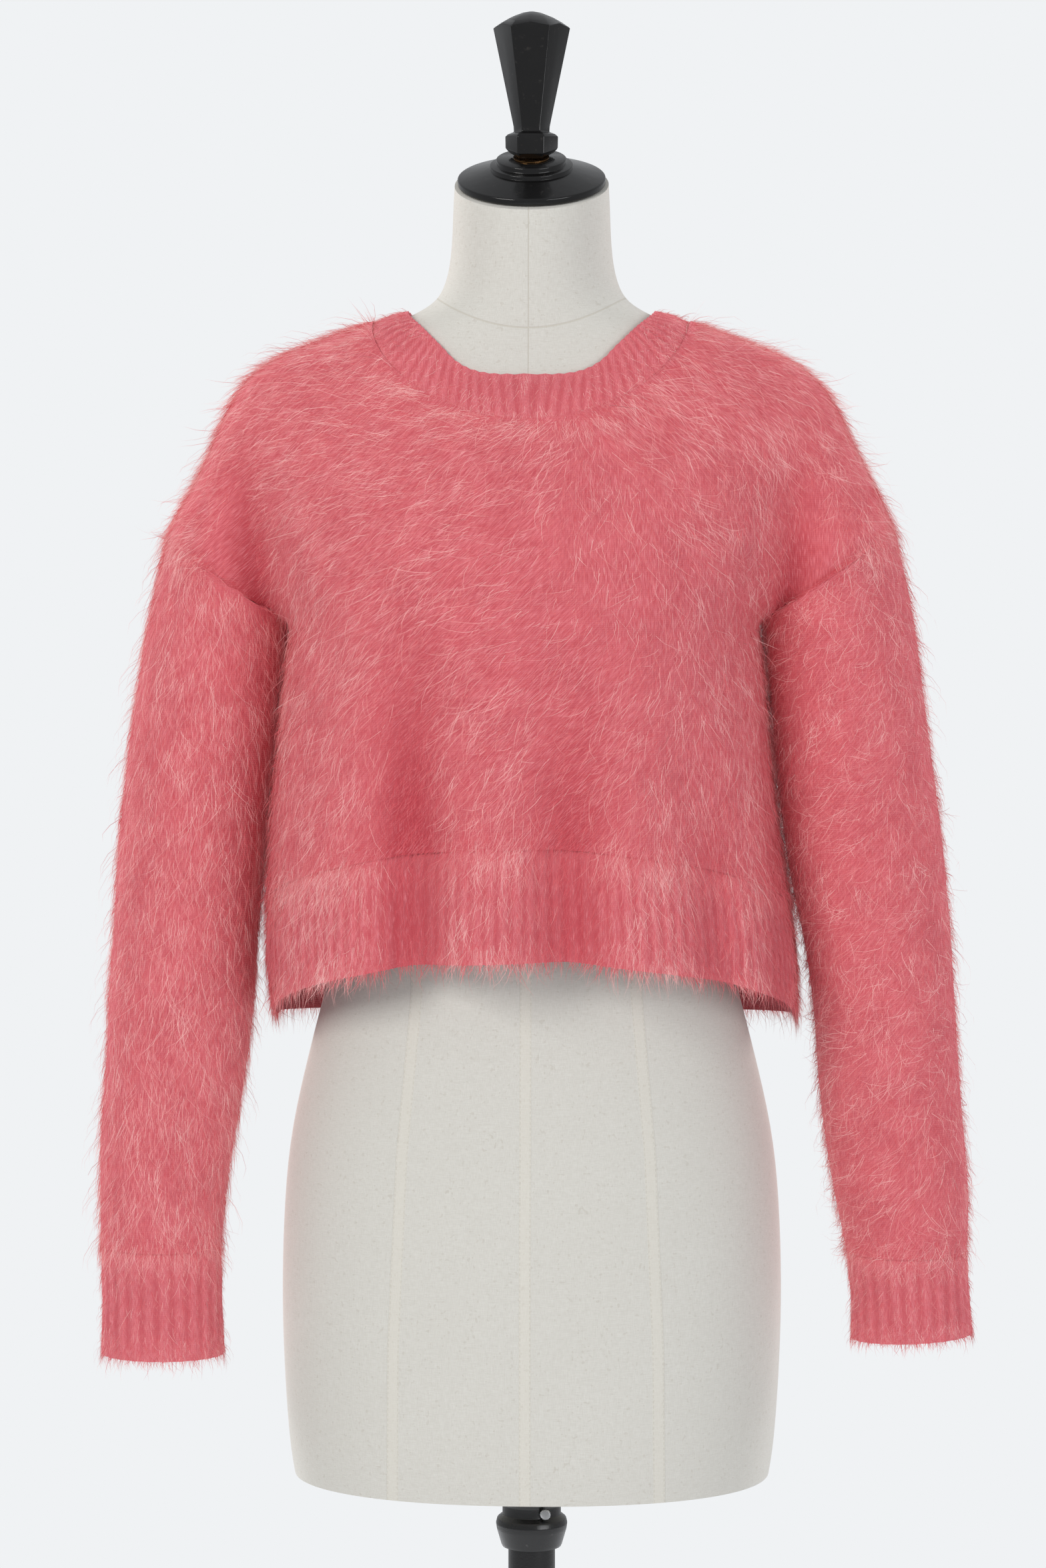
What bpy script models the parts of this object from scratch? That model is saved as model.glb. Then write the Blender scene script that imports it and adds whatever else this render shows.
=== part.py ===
"""A cropped knit top worn on a limbless dress form, with the form's neck cap, pole and foot.

Metres. X runs to the viewer's right, the front faces minus Y, and Z runs up from the floor.
The cloth is a thin wall between an outer surface and the same surface moved in.
Its pieces are those that a maker cuts: front, back, two sleeves and the ribbed bands.
"""

import math

import bpy
import numpy as np

# Driving sizes.
WALL = 0.0028  # brushed knit, yarn and nap pressed together
SEAM_GAP = 0.0004  # left between two pieces that are sewn together
RIB_HEIGHT = 0.0011  # how far a rib stands out of its groove
HEM_RIB_TALL = 0.077
HEM_RIBS_EACH_SIDE = 60
NECK_RIBS = 80
CUFF_RIBS = 24

ARMPIT_Z = 1.216
ARMHOLE_RISE = 0.686  # how steeply the dropped armhole seam climbs outwards
NECK_SEAM_HALF = 0.112
NECK_SEAM_SIDE_Z = 1.4255
NECK_SEAM_FRONT_Z = 1.3570
NECK_SEAM_BACK_Z = 1.3920
NECK_REST_HALF = 0.0845  # where the band's inner edge lies on the form
NECK_REST_FRONT = 0.0618
NECK_REST_BACK = 0.0603
NECK_SQUARENESS = 0.73  # 1 makes the opening an ellipse from above, less squares it
REST_GAP = 0.0008  # between the cloth's inside and the form that carries it

COLUMNS = 13  # of a panel, on each side of its middle
BODY_ROWS = 6  # from the hem rib to the armpit
ARMHOLE_ROWS = 6
SHOULDER_ROWS = 7
# Where the columns lie above the armpit, as shares of a row: closest round the armhole crease.
ACROSS = (0, 0.17, 0.32, 0.45, 0.55, 0.63, 0.695, 0.755, 0.815, 0.87, 0.915, 0.955, 0.982, 1)
SLEEVE_ROUND = 24
SLEEVE_ROWS = 16
FORM_ROUND = 28
SOFTENING = 2  # rounds of easing the sharp crease at each armpit

NECK_TILT = math.radians(20.5)  # the neck is cut off sloping forwards
NECK_TOP_Z = 1.5213

# The dress form. power is how square a section is, 2 for an ellipse.
FORM_COLUMNS = ("z", "half_width", "front", "back", "power")
FORM_TABLE = (
    (0.626, 0.1662, 0.114, 0.120, 2.25),
    (0.645, 0.1697, 0.117, 0.126, 2.25),
    (0.683, 0.1727, 0.119, 0.131, 2.25),
    (0.720, 0.1748, 0.119, 0.134, 2.25),
    (0.758, 0.1755, 0.118, 0.135, 2.25),
    (0.794, 0.1745, 0.116, 0.132, 2.25),
    (0.832, 0.1728, 0.113, 0.127, 2.25),
    (0.869, 0.1684, 0.110, 0.120, 2.25),
    (0.910, 0.1580, 0.106, 0.109, 2.25),
    (0.947, 0.1485, 0.102, 0.100, 2.25),
    (0.990, 0.1370, 0.098, 0.090, 2.25),
    (1.040, 0.1290, 0.098, 0.084, 2.25),
    (1.090, 0.1330, 0.108, 0.086, 2.25),
    (1.140, 0.1440, 0.126, 0.092, 2.25),
    (1.190, 0.1490, 0.139, 0.098, 2.20),
    (1.220, 0.1500, 0.141, 0.101, 2.15),
    (1.260, 0.1580, 0.130, 0.105, 2.10),
    (1.300, 0.1750, 0.113, 0.105, 2.10),
    (1.330, 0.1850, 0.0965, 0.101, 2.05),
    (1.353, 0.1915, 0.0815, 0.093, 2.00),
    (1.368, 0.1900, 0.0725, 0.085, 2.00),
    (1.380, 0.1810, 0.0650, 0.078, 2.00),
    (1.392, 0.1640, 0.0605, 0.072, 2.00),
    (1.402, 0.1460, 0.0585, 0.067, 2.00),
    (1.411, 0.1240, 0.0577, 0.0635, 2.00),
    (1.420, 0.1060, 0.0570, 0.0605, 2.00),
    (1.429, 0.0865, 0.0566, 0.0585, 2.00),
    (1.437, 0.0705, 0.0562, 0.0572, 2.00),
    (1.447, 0.0615, 0.0558, 0.0563, 2.00),
    (1.470, 0.0560, 0.0552, 0.0556, 2.00),
    (1.503, 0.0552, 0.0545, 0.0548, 2.00),
    (1.5225, 0.0541, 0.0532, 0.0535, 2.00),
)

FORM_RINGS = (
    *(0.626, 0.645, 0.690, 0.745, 0.800, 0.855, 0.905, 0.950, 1.000, 1.050),
    *(1.100, 1.150, 1.190, 1.220, 1.260, 1.300, 1.330, 1.353, 1.368, 1.380),
    *(1.392, 1.402, 1.411, 1.420, 1.429, 1.437, 1.447, 1.470, 1.503, NECK_TOP_Z),
)

# The knitted body, without its hem rib's pull. left and right are half widths.
BODY_COLUMNS = ("z", "left", "right", "front", "back", "power")
BODY_TABLE = (
    (0.925, 0.1775, 0.1820, 0.1470, 0.1230, 2.35),
    (0.945, 0.1800, 0.1845, 0.1490, 0.1250, 2.35),
    (0.962, 0.1822, 0.1855, 0.1500, 0.1260, 2.35),
    (0.990, 0.1855, 0.1845, 0.1510, 0.1260, 2.35),
    (1.030, 0.1843, 0.1785, 0.1512, 0.1240, 2.35),
    (1.086, 0.1818, 0.1702, 0.1518, 0.1200, 2.35),
    (1.114, 0.1782, 0.1671, 0.1520, 0.1175, 2.35),
    (1.149, 0.1745, 0.1646, 0.1515, 0.1145, 2.35),
    (1.185, 0.1710, 0.1618, 0.1500, 0.1125, 2.35),
    (1.216, 0.1672, 0.1578, 0.1480, 0.1125, 2.30),
    (1.250, 0.1800, 0.1700, 0.1400, 0.1130, 2.25),
    (1.280, 0.1905, 0.1800, 0.1290, 0.1135, 2.20),
    (1.300, 0.1970, 0.1870, 0.1200, 0.1130, 2.15),
    (1.320, 0.2025, 0.1950, 0.1095, 0.1110, 2.10),
    (1.342, 0.2140, 0.2120, 0.0970, 0.1060, 2.05),
    (1.357, 0.2155, 0.2165, 0.0880, 0.1000, 2.00),
    (1.373, 0.2085, 0.2085, 0.0785, 0.0920, 2.00),
    (1.392, 0.1970, 0.1950, 0.0700, 0.0815, 2.00),
    (1.410, 0.1570, 0.1555, 0.0640, 0.0730, 2.00),
    (1.4255, 0.1125, 0.1125, 0.0600, 0.0640, 2.00),
    (1.436, 0.0900, 0.0900, 0.0560, 0.0600, 2.00),
)

# The sleeves hang as flattened tubes. Above the armpit the inner side is inside the body.
ARM_COLUMNS = ("z", "outer", "inner", "half_depth", "middle_y")
ARM_TABLES = {
    "left": (
        (0.690, 0.2995, 0.2140, 0.0330, -0.0100),
        (0.720, 0.2998, 0.2140, 0.0335, -0.0100),
        (0.757, 0.2985, 0.2165, 0.0335, -0.0100),
        (0.783, 0.3003, 0.2155, 0.0345, -0.0100),
        (0.813, 0.3007, 0.2126, 0.0360, -0.0098),
        (0.850, 0.3011, 0.2080, 0.0375, -0.0091),
        (0.887, 0.2992, 0.2012, 0.0395, -0.0085),
        (0.925, 0.2967, 0.1962, 0.0410, -0.0079),
        (0.962, 0.2954, 0.1920, 0.0420, -0.0072),
        (0.999, 0.2917, 0.1895, 0.0433, -0.0066),
        (1.036, 0.2902, 0.1868, 0.0457, -0.0060),
        (1.074, 0.2872, 0.1846, 0.0481, -0.0053),
        (1.111, 0.2834, 0.1810, 0.0499, -0.0047),
        (1.148, 0.2792, 0.1772, 0.0515, -0.0040),
        (1.185, 0.2727, 0.1733, 0.0520, -0.0040),
        (1.205, 0.2702, 0.1706, 0.0520, -0.0040),
        (1.216, 0.2685, 0.1690, 0.0520, -0.0040),
        (1.250, 0.2612, 0.1620, 0.0520, -0.0040),
        (1.280, 0.2542, 0.1650, 0.0510, -0.0040),
        (1.300, 0.2432, 0.1670, 0.0445, -0.0030),
        (1.320, 0.2322, 0.1730, 0.0405, -0.0030),
        (1.342, 0.2202, 0.1785, 0.0345, -0.0030),
        (1.360, 0.2092, 0.1830, 0.0215, -0.0030),
    ),
    "right": (
        (0.700, 0.3062, 0.2215, 0.0330, -0.0100),
        (0.716, 0.3060, 0.2218, 0.0335, -0.0100),
        (0.739, 0.3050, 0.2228, 0.0335, -0.0100),
        (0.757, 0.3030, 0.2215, 0.0335, -0.0100),
        (0.783, 0.3022, 0.2180, 0.0360, -0.0100),
        (0.813, 0.3039, 0.2098, 0.0385, -0.0098),
        (0.850, 0.3016, 0.2055, 0.0395, -0.0091),
        (0.887, 0.2983, 0.2001, 0.0405, -0.0085),
        (0.925, 0.2964, 0.1974, 0.0410, -0.0079),
        (0.962, 0.2932, 0.1932, 0.0420, -0.0072),
        (0.999, 0.2918, 0.1890, 0.0433, -0.0066),
        (1.036, 0.2882, 0.1804, 0.0457, -0.0060),
        (1.074, 0.2853, 0.1746, 0.0481, -0.0053),
        (1.111, 0.2800, 0.1696, 0.0499, -0.0047),
        (1.148, 0.2747, 0.1668, 0.0515, -0.0040),
        (1.185, 0.2704, 0.1640, 0.0520, -0.0040),
        (1.205, 0.2684, 0.1614, 0.0520, -0.0040),
        (1.216, 0.2667, 0.1598, 0.0520, -0.0040),
        (1.250, 0.2600, 0.1525, 0.0520, -0.0040),
        (1.280, 0.2530, 0.1555, 0.0510, -0.0040),
        (1.300, 0.2442, 0.1600, 0.0445, -0.0030),
        (1.320, 0.2347, 0.1680, 0.0405, -0.0030),
        (1.342, 0.2227, 0.1740, 0.0345, -0.0030),
        (1.360, 0.2102, 0.1800, 0.0215, -0.0030),
    ),
}
CUFF_SPANS = {"left": (0.7828, 0.7070), "right": (0.7828, 0.7215)}
CUFF_SLANTS = {"left": 0.0, "right": 0.045}  # how much its edge rises outwards, per metre

# Soft upright folds of the body: where each is at the hem and where it dies out.
FOLD_COLUMNS = ("face", "x_low", "x_high", "z_high", "half_width", "depth")
FOLD_TABLE = (
    ("front", -0.074, -0.062, 1.240, 0.0220, -0.0140),
    ("front", -0.026, -0.024, 1.220, 0.0250, 0.0040),
    ("front", 0.031, 0.020, 1.200, 0.0220, -0.0120),
    ("front", 0.078, 0.070, 1.200, 0.0240, 0.0030),
    ("front", 0.140, 0.100, 1.190, 0.0170, -0.0070),
    ("back", -0.095, -0.070, 1.260, 0.0300, -0.0110),
    ("back", 0.010, 0.004, 1.220, 0.0280, -0.0090),
    ("back", 0.105, 0.085, 1.260, 0.0280, -0.0110),
)

# The deep crease from each armpit up between the chest and the arm.
GROOVE_COLUMNS = ("z", "left", "right", "depth")
GROOVE_TABLE = (
    (1.216, 0.1690, 0.1595, 0.0000),
    (1.235, 0.1745, 0.1640, 0.0080),
    (1.255, 0.1800, 0.1690, 0.0130),
    (1.276, 0.1850, 0.1740, 0.0130),
    (1.301, 0.1900, 0.1790, 0.0100),
    (1.323, 0.1940, 0.1860, 0.0060),
    (1.345, 0.1970, 0.1890, 0.0000),
)
GROOVE_HALF_WIDTH = 0.0135

# Creases of the hanging sleeves: height, where round the tube, how long and how deep.
CREASE_COLUMNS = ("side", "z", "turn", "lean", "half_height", "depth")
CREASE_TABLE = (
    ("left", 1.130, 200, 0.020, 0.016, -0.0035),
    ("left", 1.020, 300, 0.025, 0.020, -0.0030),
    ("left", 0.900, 40, 0.020, 0.022, -0.0025),
    ("left", 0.830, 320, 0.020, 0.018, -0.0030),
    ("right", 1.120, 160, 0.020, 0.016, -0.0035),
    ("right", 0.980, 320, 0.025, 0.020, -0.0035),
    ("right", 0.870, 20, 0.030, 0.020, -0.0035),
    ("right", 0.815, 300, 0.020, 0.014, -0.0035),
)

# Turned and cut parts as rows of height and radius.
CAP_TABLE = (
    (0.0004, 0.0505),
    (0.0012, 0.0516),
    (0.0050, 0.0516),
    (0.0056, 0.0508),
    (0.0119, 0.0295),
    (0.0120, 0.0291),
    (0.0146, 0.0291),
    (0.0149, 0.0286),
    (0.0155, 0.0250),
    (0.0156, 0.0244),
    (0.0189, 0.0244),
    (0.0193, 0.0238),
)
WASHER_TABLE = ((0.0197, 0.0125), (0.0205, 0.0125))
KNOB_COLUMNS = ("z", "corner_radius", "tilt_share")
KNOB_TABLE = (
    (1.5436, 0.0155, 1.00),
    (1.5468, 0.0184, 0.75),
    (1.5550, 0.0186, 0.10),
    (1.5566, 0.0168, 0.00),
    (1.5582, 0.0126, 0.00),
    (1.5619, 0.0128, 0.00),
    (1.5660, 0.0134, 0.00),
    (1.6305, 0.0270, 0.00),
)
KNOB_TOP_Z = 1.6423
COLLAR_TABLE = (
    (0.5730, 0.0205),
    (0.5745, 0.0212),
    (0.5850, 0.0243),
    (0.5890, 0.0249),
    (0.5925, 0.0240),
    (0.5954, 0.0204),
    (0.6020, 0.0204),
    (0.6060, 0.0220),
    (0.6225, 0.0300),
    (0.6258, 0.0300),
)
POLE_RADIUS = 0.0163
FOOT_TABLE = (
    (0.0000, 0.1680),
    (0.0020, 0.1700),
    (0.0140, 0.1700),
    (0.0180, 0.1685),
    (0.0240, 0.1500),
    (0.0260, 0.0400),
    (0.0300, 0.0300),
    (0.0420, 0.0270),
    (0.0440, 0.0250),
)
SCREW_SPOT = (0.0102, 0.5990)
SCREW_RADIUS = 0.00385
SCREW_BACK_Y = -0.0200  # its underside, just clear of the collar's curve

# slot: colour, roughness, metallic
MATERIAL_TABLE = {
    "mohair_knit": ((0.80, 0.47, 0.47), 0.90, 0.0),
    "mohair_rib": ((0.78, 0.45, 0.45), 0.90, 0.0),
    "linen_cover": ((0.78, 0.76, 0.71), 0.85, 0.0),
    "black_wood": ((0.015, 0.014, 0.013), 0.22, 0.0),
    "brass_washer": ((0.60, 0.42, 0.18), 0.35, 1.0),
    "black_metal": ((0.020, 0.020, 0.021), 0.35, 0.0),
    "screw_steel": ((0.55, 0.55, 0.56), 0.30, 1.0),
}


def smooth(table, column, at):
    """A column of a table read at any height: a cubic curve that never overshoots its rows."""
    rows = np.array([[row[0], row[column]] for row in table], float)
    xs, ys = rows[:, 0], rows[:, 1]
    step = np.diff(xs)
    rise = np.diff(ys) / step
    slope = np.concatenate([rise[:1], np.zeros(len(xs) - 2), rise[-1:]])
    same = rise[:-1] * rise[1:] > 0
    first = 2 * step[1:] + step[:-1]
    second = step[1:] + 2 * step[:-1]
    with np.errstate(divide="ignore", invalid="ignore"):
        mean = (first + second) / (first / rise[:-1] + second / rise[1:])
    slope[1:-1] = np.where(same, mean, 0.0)
    at = np.clip(np.asarray(at, float), xs[0], xs[-1])
    i = np.clip(np.searchsorted(xs, at) - 1, 0, len(step) - 1)
    t = (at - xs[i]) / step[i]
    return (
        ys[i] * (1 + 2 * t) * (1 - t) ** 2
        + slope[i] * step[i] * t * (1 - t) ** 2
        + ys[i + 1] * t**2 * (3 - 2 * t)
        + slope[i + 1] * step[i] * t**2 * (t - 1)
    )


def rounded(x, half_width, depth, power):
    """How deep a rounded section stands at x: depth in the middle, nothing at its sides."""
    inside = np.clip(1 - (np.abs(x) / half_width) ** power, 0, 1)
    return depth * inside ** (1 / power)


def form_depth(x, z, face):
    """The dress form's surface in front of or behind its middle plane."""
    column = 2 if face == "front" else 3
    half = smooth(FORM_TABLE, 1, z)
    return rounded(x, half, smooth(FORM_TABLE, column, z), smooth(FORM_TABLE, 4, z))


def arm_section(side, z):
    """Middle x, half width, half depth and middle y of a sleeve at height z."""
    table = ARM_TABLES[side]
    outer, inner = smooth(table, 1, z), smooth(table, 2, z)
    return (outer + inner) / 2, (outer - inner) / 2, smooth(table, 3, z), smooth(table, 4, z)


def fold_depth(x, z, face):
    """The soft folds that run up from the hem and die out."""
    total = np.zeros(np.broadcast(x, z).shape)
    for where, x_low, x_high, z_high, half_width, depth in FOLD_TABLE:
        if where != face:
            continue
        share = np.clip((z_high - z) / (z_high - 0.97), 0, 1.1)
        middle = x_high + (x_low - x_high) * share
        ramp = np.sin(np.clip(share * 1.4, 0, 1) * np.pi / 2)
        total = total + depth * ramp * np.exp(-(((x - middle) / half_width) ** 2))
    return total


def cloth_depth(x, z, face):
    """The knit's outer surface: the chest and, above the armpit, the top of each arm."""
    x, z = np.broadcast_arrays(np.asarray(x, float), np.asarray(z, float))
    column = 3 if face == "front" else 4
    half = np.where(x < 0, smooth(BODY_TABLE, 1, z), smooth(BODY_TABLE, 2, z))
    power = smooth(BODY_TABLE, 5, z)
    chest = rounded(x, half, smooth(BODY_TABLE, column, z), power)
    edge = np.clip((1 - np.abs(x) / half) * 6, 0, 1)
    chest = chest + fold_depth(x, z, face) * edge
    arms = np.zeros(x.shape)
    for side, sign in (("left", -1), ("right", 1)):
        middle, half_width, half_depth, middle_y = arm_section(side, z)
        shift = middle_y if face == "back" else -middle_y
        arm = rounded(sign * x - middle, half_width, half_depth + shift, 2.0)
        arms = np.maximum(arms, np.where(z > ARMPIT_Z - 1e-6, arm, 0))
    depth = (chest**6 + arms**6) ** (1 / 6)
    line = np.where(x < 0, smooth(GROOVE_TABLE, 1, z), smooth(GROOVE_TABLE, 2, z))
    groove = smooth(GROOVE_TABLE, 3, z) * np.exp(-(((np.abs(x) - line) / GROOVE_HALF_WIDTH) ** 2))
    return depth - np.minimum(groove, depth * 0.45)


def hem_height(forward):
    """Height of the hem's lower edge: forward is 1 at the front, 0 at a side, -1 behind."""
    return 0.9450 + 0.031 * forward + 0.0195 * np.abs(forward) ** 1.2


def unit(vectors):
    return vectors / np.maximum(np.linalg.norm(vectors, axis=-1, keepdims=True), 1e-12)


def grid_normals(points, closed):
    """Outward directions of a grid of points, rows by columns, from its neighbours."""
    up = np.gradient(points, axis=0)
    if closed:
        across = np.roll(points, -1, axis=1) - np.roll(points, 1, axis=1)
    else:
        across = np.gradient(points, axis=1)
    return unit(np.cross(across, up))


def mesh_object(name, points, faces, slot, smooth_shading=True):
    """A named object of one closed mesh with its own material."""
    mesh = bpy.data.meshes.new(name)
    mesh.from_pydata([tuple(map(float, p)) for p in points], [], faces)
    mesh.validate()
    mesh.update()
    obj = bpy.data.objects.new(name, mesh)
    bpy.context.scene.collection.objects.link(obj)
    colour, roughness, metallic = MATERIAL_TABLE[slot]
    material = bpy.data.materials.get(slot)
    if material is None:
        material = bpy.data.materials.new(slot)
        material.use_nodes = True
        shader = material.node_tree.nodes["Principled BSDF"]
        shader.inputs["Base Color"].default_value = (*colour, 1.0)
        shader.inputs["Roughness"].default_value = roughness
        shader.inputs["Metallic"].default_value = metallic
    mesh.materials.append(material)
    mesh.polygons.foreach_set("use_smooth", [smooth_shading] * len(mesh.polygons))
    return obj


def wall_object(name, outer, inner, closed, slot):
    """A wall between two grids of points. closed joins the last column to the first."""
    rows, columns = outer.shape[:2]
    points = np.concatenate([outer.reshape(-1, 3), inner.reshape(-1, 3)])
    half = rows * columns
    last = columns if closed else columns - 1
    faces = []
    for j in range(rows - 1):
        for i in range(last):
            k = (i + 1) % columns
            a, b = j * columns + i, j * columns + k
            c, d = (j + 1) * columns + k, (j + 1) * columns + i
            # Both sides of the wall fold along the same diagonal, the shorter one.
            rise = np.linalg.norm(points[a] - points[c]) <= np.linalg.norm(points[b] - points[d])
            for one, two, three in ((a, b, c), (a, c, d)) if rise else ((a, b, d), (b, c, d)):
                faces.append((one, two, three))
                faces.append((half + one, half + three, half + two))
    for i in range(last):
        k = (i + 1) % columns
        faces.append((i, half + i, half + k, k))
        top = (rows - 1) * columns
        faces.append((top + k, half + top + k, half + top + i, top + i))
    if not closed:
        for j in range(rows - 1):
            a, d = j * columns, (j + 1) * columns
            faces.append((a, d, half + d, half + a))
            b, c = a + columns - 1, d + columns - 1
            faces.append((b, half + b, half + c, c))
    return mesh_object(name, points, faces, slot)


def ring_object(name, rings, slot, smooth_shading=True):
    """A solid through closed rings of points from its bottom to its top, capped flat."""
    rings = np.asarray(rings)
    count, around = rings.shape[:2]
    points = np.concatenate([rings.reshape(-1, 3), rings[0].mean(0)[None], rings[-1].mean(0)[None]])
    faces = []
    for j in range(count - 1):
        for i in range(around):
            k = (i + 1) % around
            faces.append((j * around + i, j * around + k, (j + 1) * around + k, (j + 1) * around + i))
    low, high = count * around, count * around + 1
    for i in range(around):
        k = (i + 1) % around
        faces.append((low, k, i))
        top = (count - 1) * around
        faces.append((high, top + i, top + k))
    return mesh_object(name, points, faces, slot, smooth_shading)


def circle(around, start=0.0):
    """Angles round an axis, from the front and on to plus X."""
    return start + np.arange(around) * 2 * np.pi / around


def turned_rings(table, around, x=0.0, y=0.0):
    """Rings of a turned piece about an upright axis, from rows of height and radius."""
    angle = circle(around)
    rings = []
    for z, radius in table:
        ring = [x + radius * np.sin(angle), y - radius * np.cos(angle), np.full(around, z)]
        rings.append(np.stack(ring, axis=1))
    return np.array(rings)


def tilted(rings, height, tilt):
    """Leans rings forwards about the middle of the neck's cut."""
    out = rings.copy()
    out[..., 1] = rings[..., 1] * math.cos(tilt) - rings[..., 2] * math.sin(tilt)
    out[..., 2] = rings[..., 1] * math.sin(tilt) + rings[..., 2] * math.cos(tilt) + height
    return out


def form_rings():
    """Sections of the dress form, the top ones leaning over to the sloping neck cut."""
    angle = circle(FORM_ROUND)
    rings = []
    for z in FORM_RINGS:
        power = smooth(FORM_TABLE, 4, z)
        half = smooth(FORM_TABLE, 1, z)
        front, back = smooth(FORM_TABLE, 2, z), smooth(FORM_TABLE, 3, z)
        sine, cosine = np.sin(angle), np.cos(angle)
        x = half * np.sign(sine) * np.abs(sine) ** (2 / power)
        depth = np.where(cosine > 0, front, back)
        y = -depth * np.sign(cosine) * np.abs(cosine) ** (2 / power)
        lean = np.clip((z - 1.455) / (NECK_TOP_Z - 1.455), 0, 1) ** 2
        rings.append(np.stack([x, y, z + lean * y * math.tan(NECK_TILT)], axis=1))
    return np.array(rings)


def neck_seam(turn, face):
    """Front view of the seam under the neckband: x and z at a turn from the middle."""
    middle = NECK_SEAM_FRONT_Z if face == "front" else NECK_SEAM_BACK_Z
    power = 1.2 if face == "front" else 1.5
    return NECK_SEAM_HALF * np.sin(turn), NECK_SEAM_SIDE_Z - (NECK_SEAM_SIDE_Z - middle) * np.abs(
        np.cos(turn)
    ) ** power


def row_ends(side):
    """Where a panel's rows above the armpit end: up the armhole seam, then in along the shoulder."""
    column = 1 if side == "left" else 2
    start = smooth(BODY_TABLE, column, ARMPIT_Z)
    out = 0.08
    for _ in range(40):
        out = float(smooth(ARM_TABLES[side], 1, ARMPIT_Z + out * ARMHOLE_RISE)) - start
    seam_x = start + out * (1 - np.cos(np.linspace(0, np.pi, ARMHOLE_ROWS + 1))) / 2
    seam = np.stack([seam_x, ARMPIT_Z + (seam_x - start) * ARMHOLE_RISE], axis=1)
    heights = np.linspace(seam[-1, 1], NECK_SEAM_SIDE_Z, 400)
    body = smooth(BODY_TABLE, column, heights)
    arm = smooth(ARM_TABLES[side], 1, heights) * (heights < 1.36)
    line = np.stack([np.maximum(body, arm), heights], axis=1)
    line[0] = seam[-1]
    line[-1] = (NECK_SEAM_HALF, NECK_SEAM_SIDE_Z)
    walked = np.concatenate([[0], np.cumsum(np.linalg.norm(np.diff(line, axis=0), axis=1))])
    wanted = np.linspace(0, walked[-1], SHOULDER_ROWS + 1)[1:]
    ridge = np.stack([np.interp(wanted, walked, line[:, i]) for i in (0, 1)], axis=1)
    return np.concatenate([seam, ridge])


def panel_points(face):
    """The outer points of the front or back panel, from the hem rib's seam to the neckband's."""
    turn = np.linspace(-np.pi / 2, np.pi / 2, 2 * COLUMNS + 1)
    sine = np.sin(turn)
    forward = np.cos(turn) * (1 if face == "front" else -1)
    low = hem_height(forward) + HEM_RIB_TALL
    rows = []
    for share in np.linspace(0, 1, BODY_ROWS + 1)[:-1]:
        z = low + (ARMPIT_Z - low) * share
        half = np.where(sine < 0, smooth(BODY_TABLE, 1, z), smooth(BODY_TABLE, 2, z))
        rows.append((half * sine, z))
    ends = {side: row_ends(side) for side in ("left", "right")}
    count = len(ends["left"])
    top_x, top_z = neck_seam(turn, face)
    middle_top = NECK_SEAM_FRONT_Z if face == "front" else NECK_SEAM_BACK_Z
    for j in range(count):
        share = j / (count - 1)
        middle = ARMPIT_Z + (middle_top - ARMPIT_Z) * share**1.05
        reach = np.where(sine < 0, ends["left"][j, 0], ends["right"][j, 0])
        height = np.where(sine < 0, ends["left"][j, 1], ends["right"][j, 1])
        bow = 1 - np.abs(np.cos(turn)) ** (1.6 - 0.4 * share)
        even = min(1.0, j / 2, (count - 1 - j) / 4)
        shares = np.array([-share for share in ACROSS[:0:-1]] + list(ACROSS))
        across = sine + (shares - sine) * even
        rows.append((reach * across, middle + (height - middle) * bow))
    rows[-1] = (top_x, top_z)
    points = np.zeros((len(rows), len(turn), 3))
    for j, (x, z) in enumerate(rows):
        depth = cloth_depth(x, z, face)
        depth[0] = depth[-1] = 0.0
        points[j] = np.stack([x, -depth if face == "front" else depth, z], axis=1)
    first_arm, last_arm = BODY_ROWS + 1, BODY_ROWS + ARMHOLE_ROWS
    for j in range(first_arm, last_arm):
        for i in (0, -1):
            depth = float(cloth_depth(points[j, i, 0], points[j, i, 2], face))
            points[j, i, 1] = -depth if face == "front" else depth
    return points


def softened(points):
    """Eases the panel's own points round each armpit, as cloth rounds off a sharp crease."""
    near = np.clip((np.abs(points[..., 0]) - 0.115) / 0.025, 0, 1)
    near = near * np.clip((points[..., 2] - 1.150) / 0.030, 0, 1)
    near = near * np.clip((1.360 - points[..., 2]) / 0.040, 0, 1)
    share = near[1:-1, 1:-1, None] * 0.5
    for _ in range(SOFTENING):
        mean = (points[:-2, 1:-1] + points[2:, 1:-1] + points[1:-1, :-2] + points[1:-1, 2:]) / 4
        points[1:-1, 1:-1, 1] += ((mean - points[1:-1, 1:-1]) * share)[..., 1]
    return points


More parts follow.
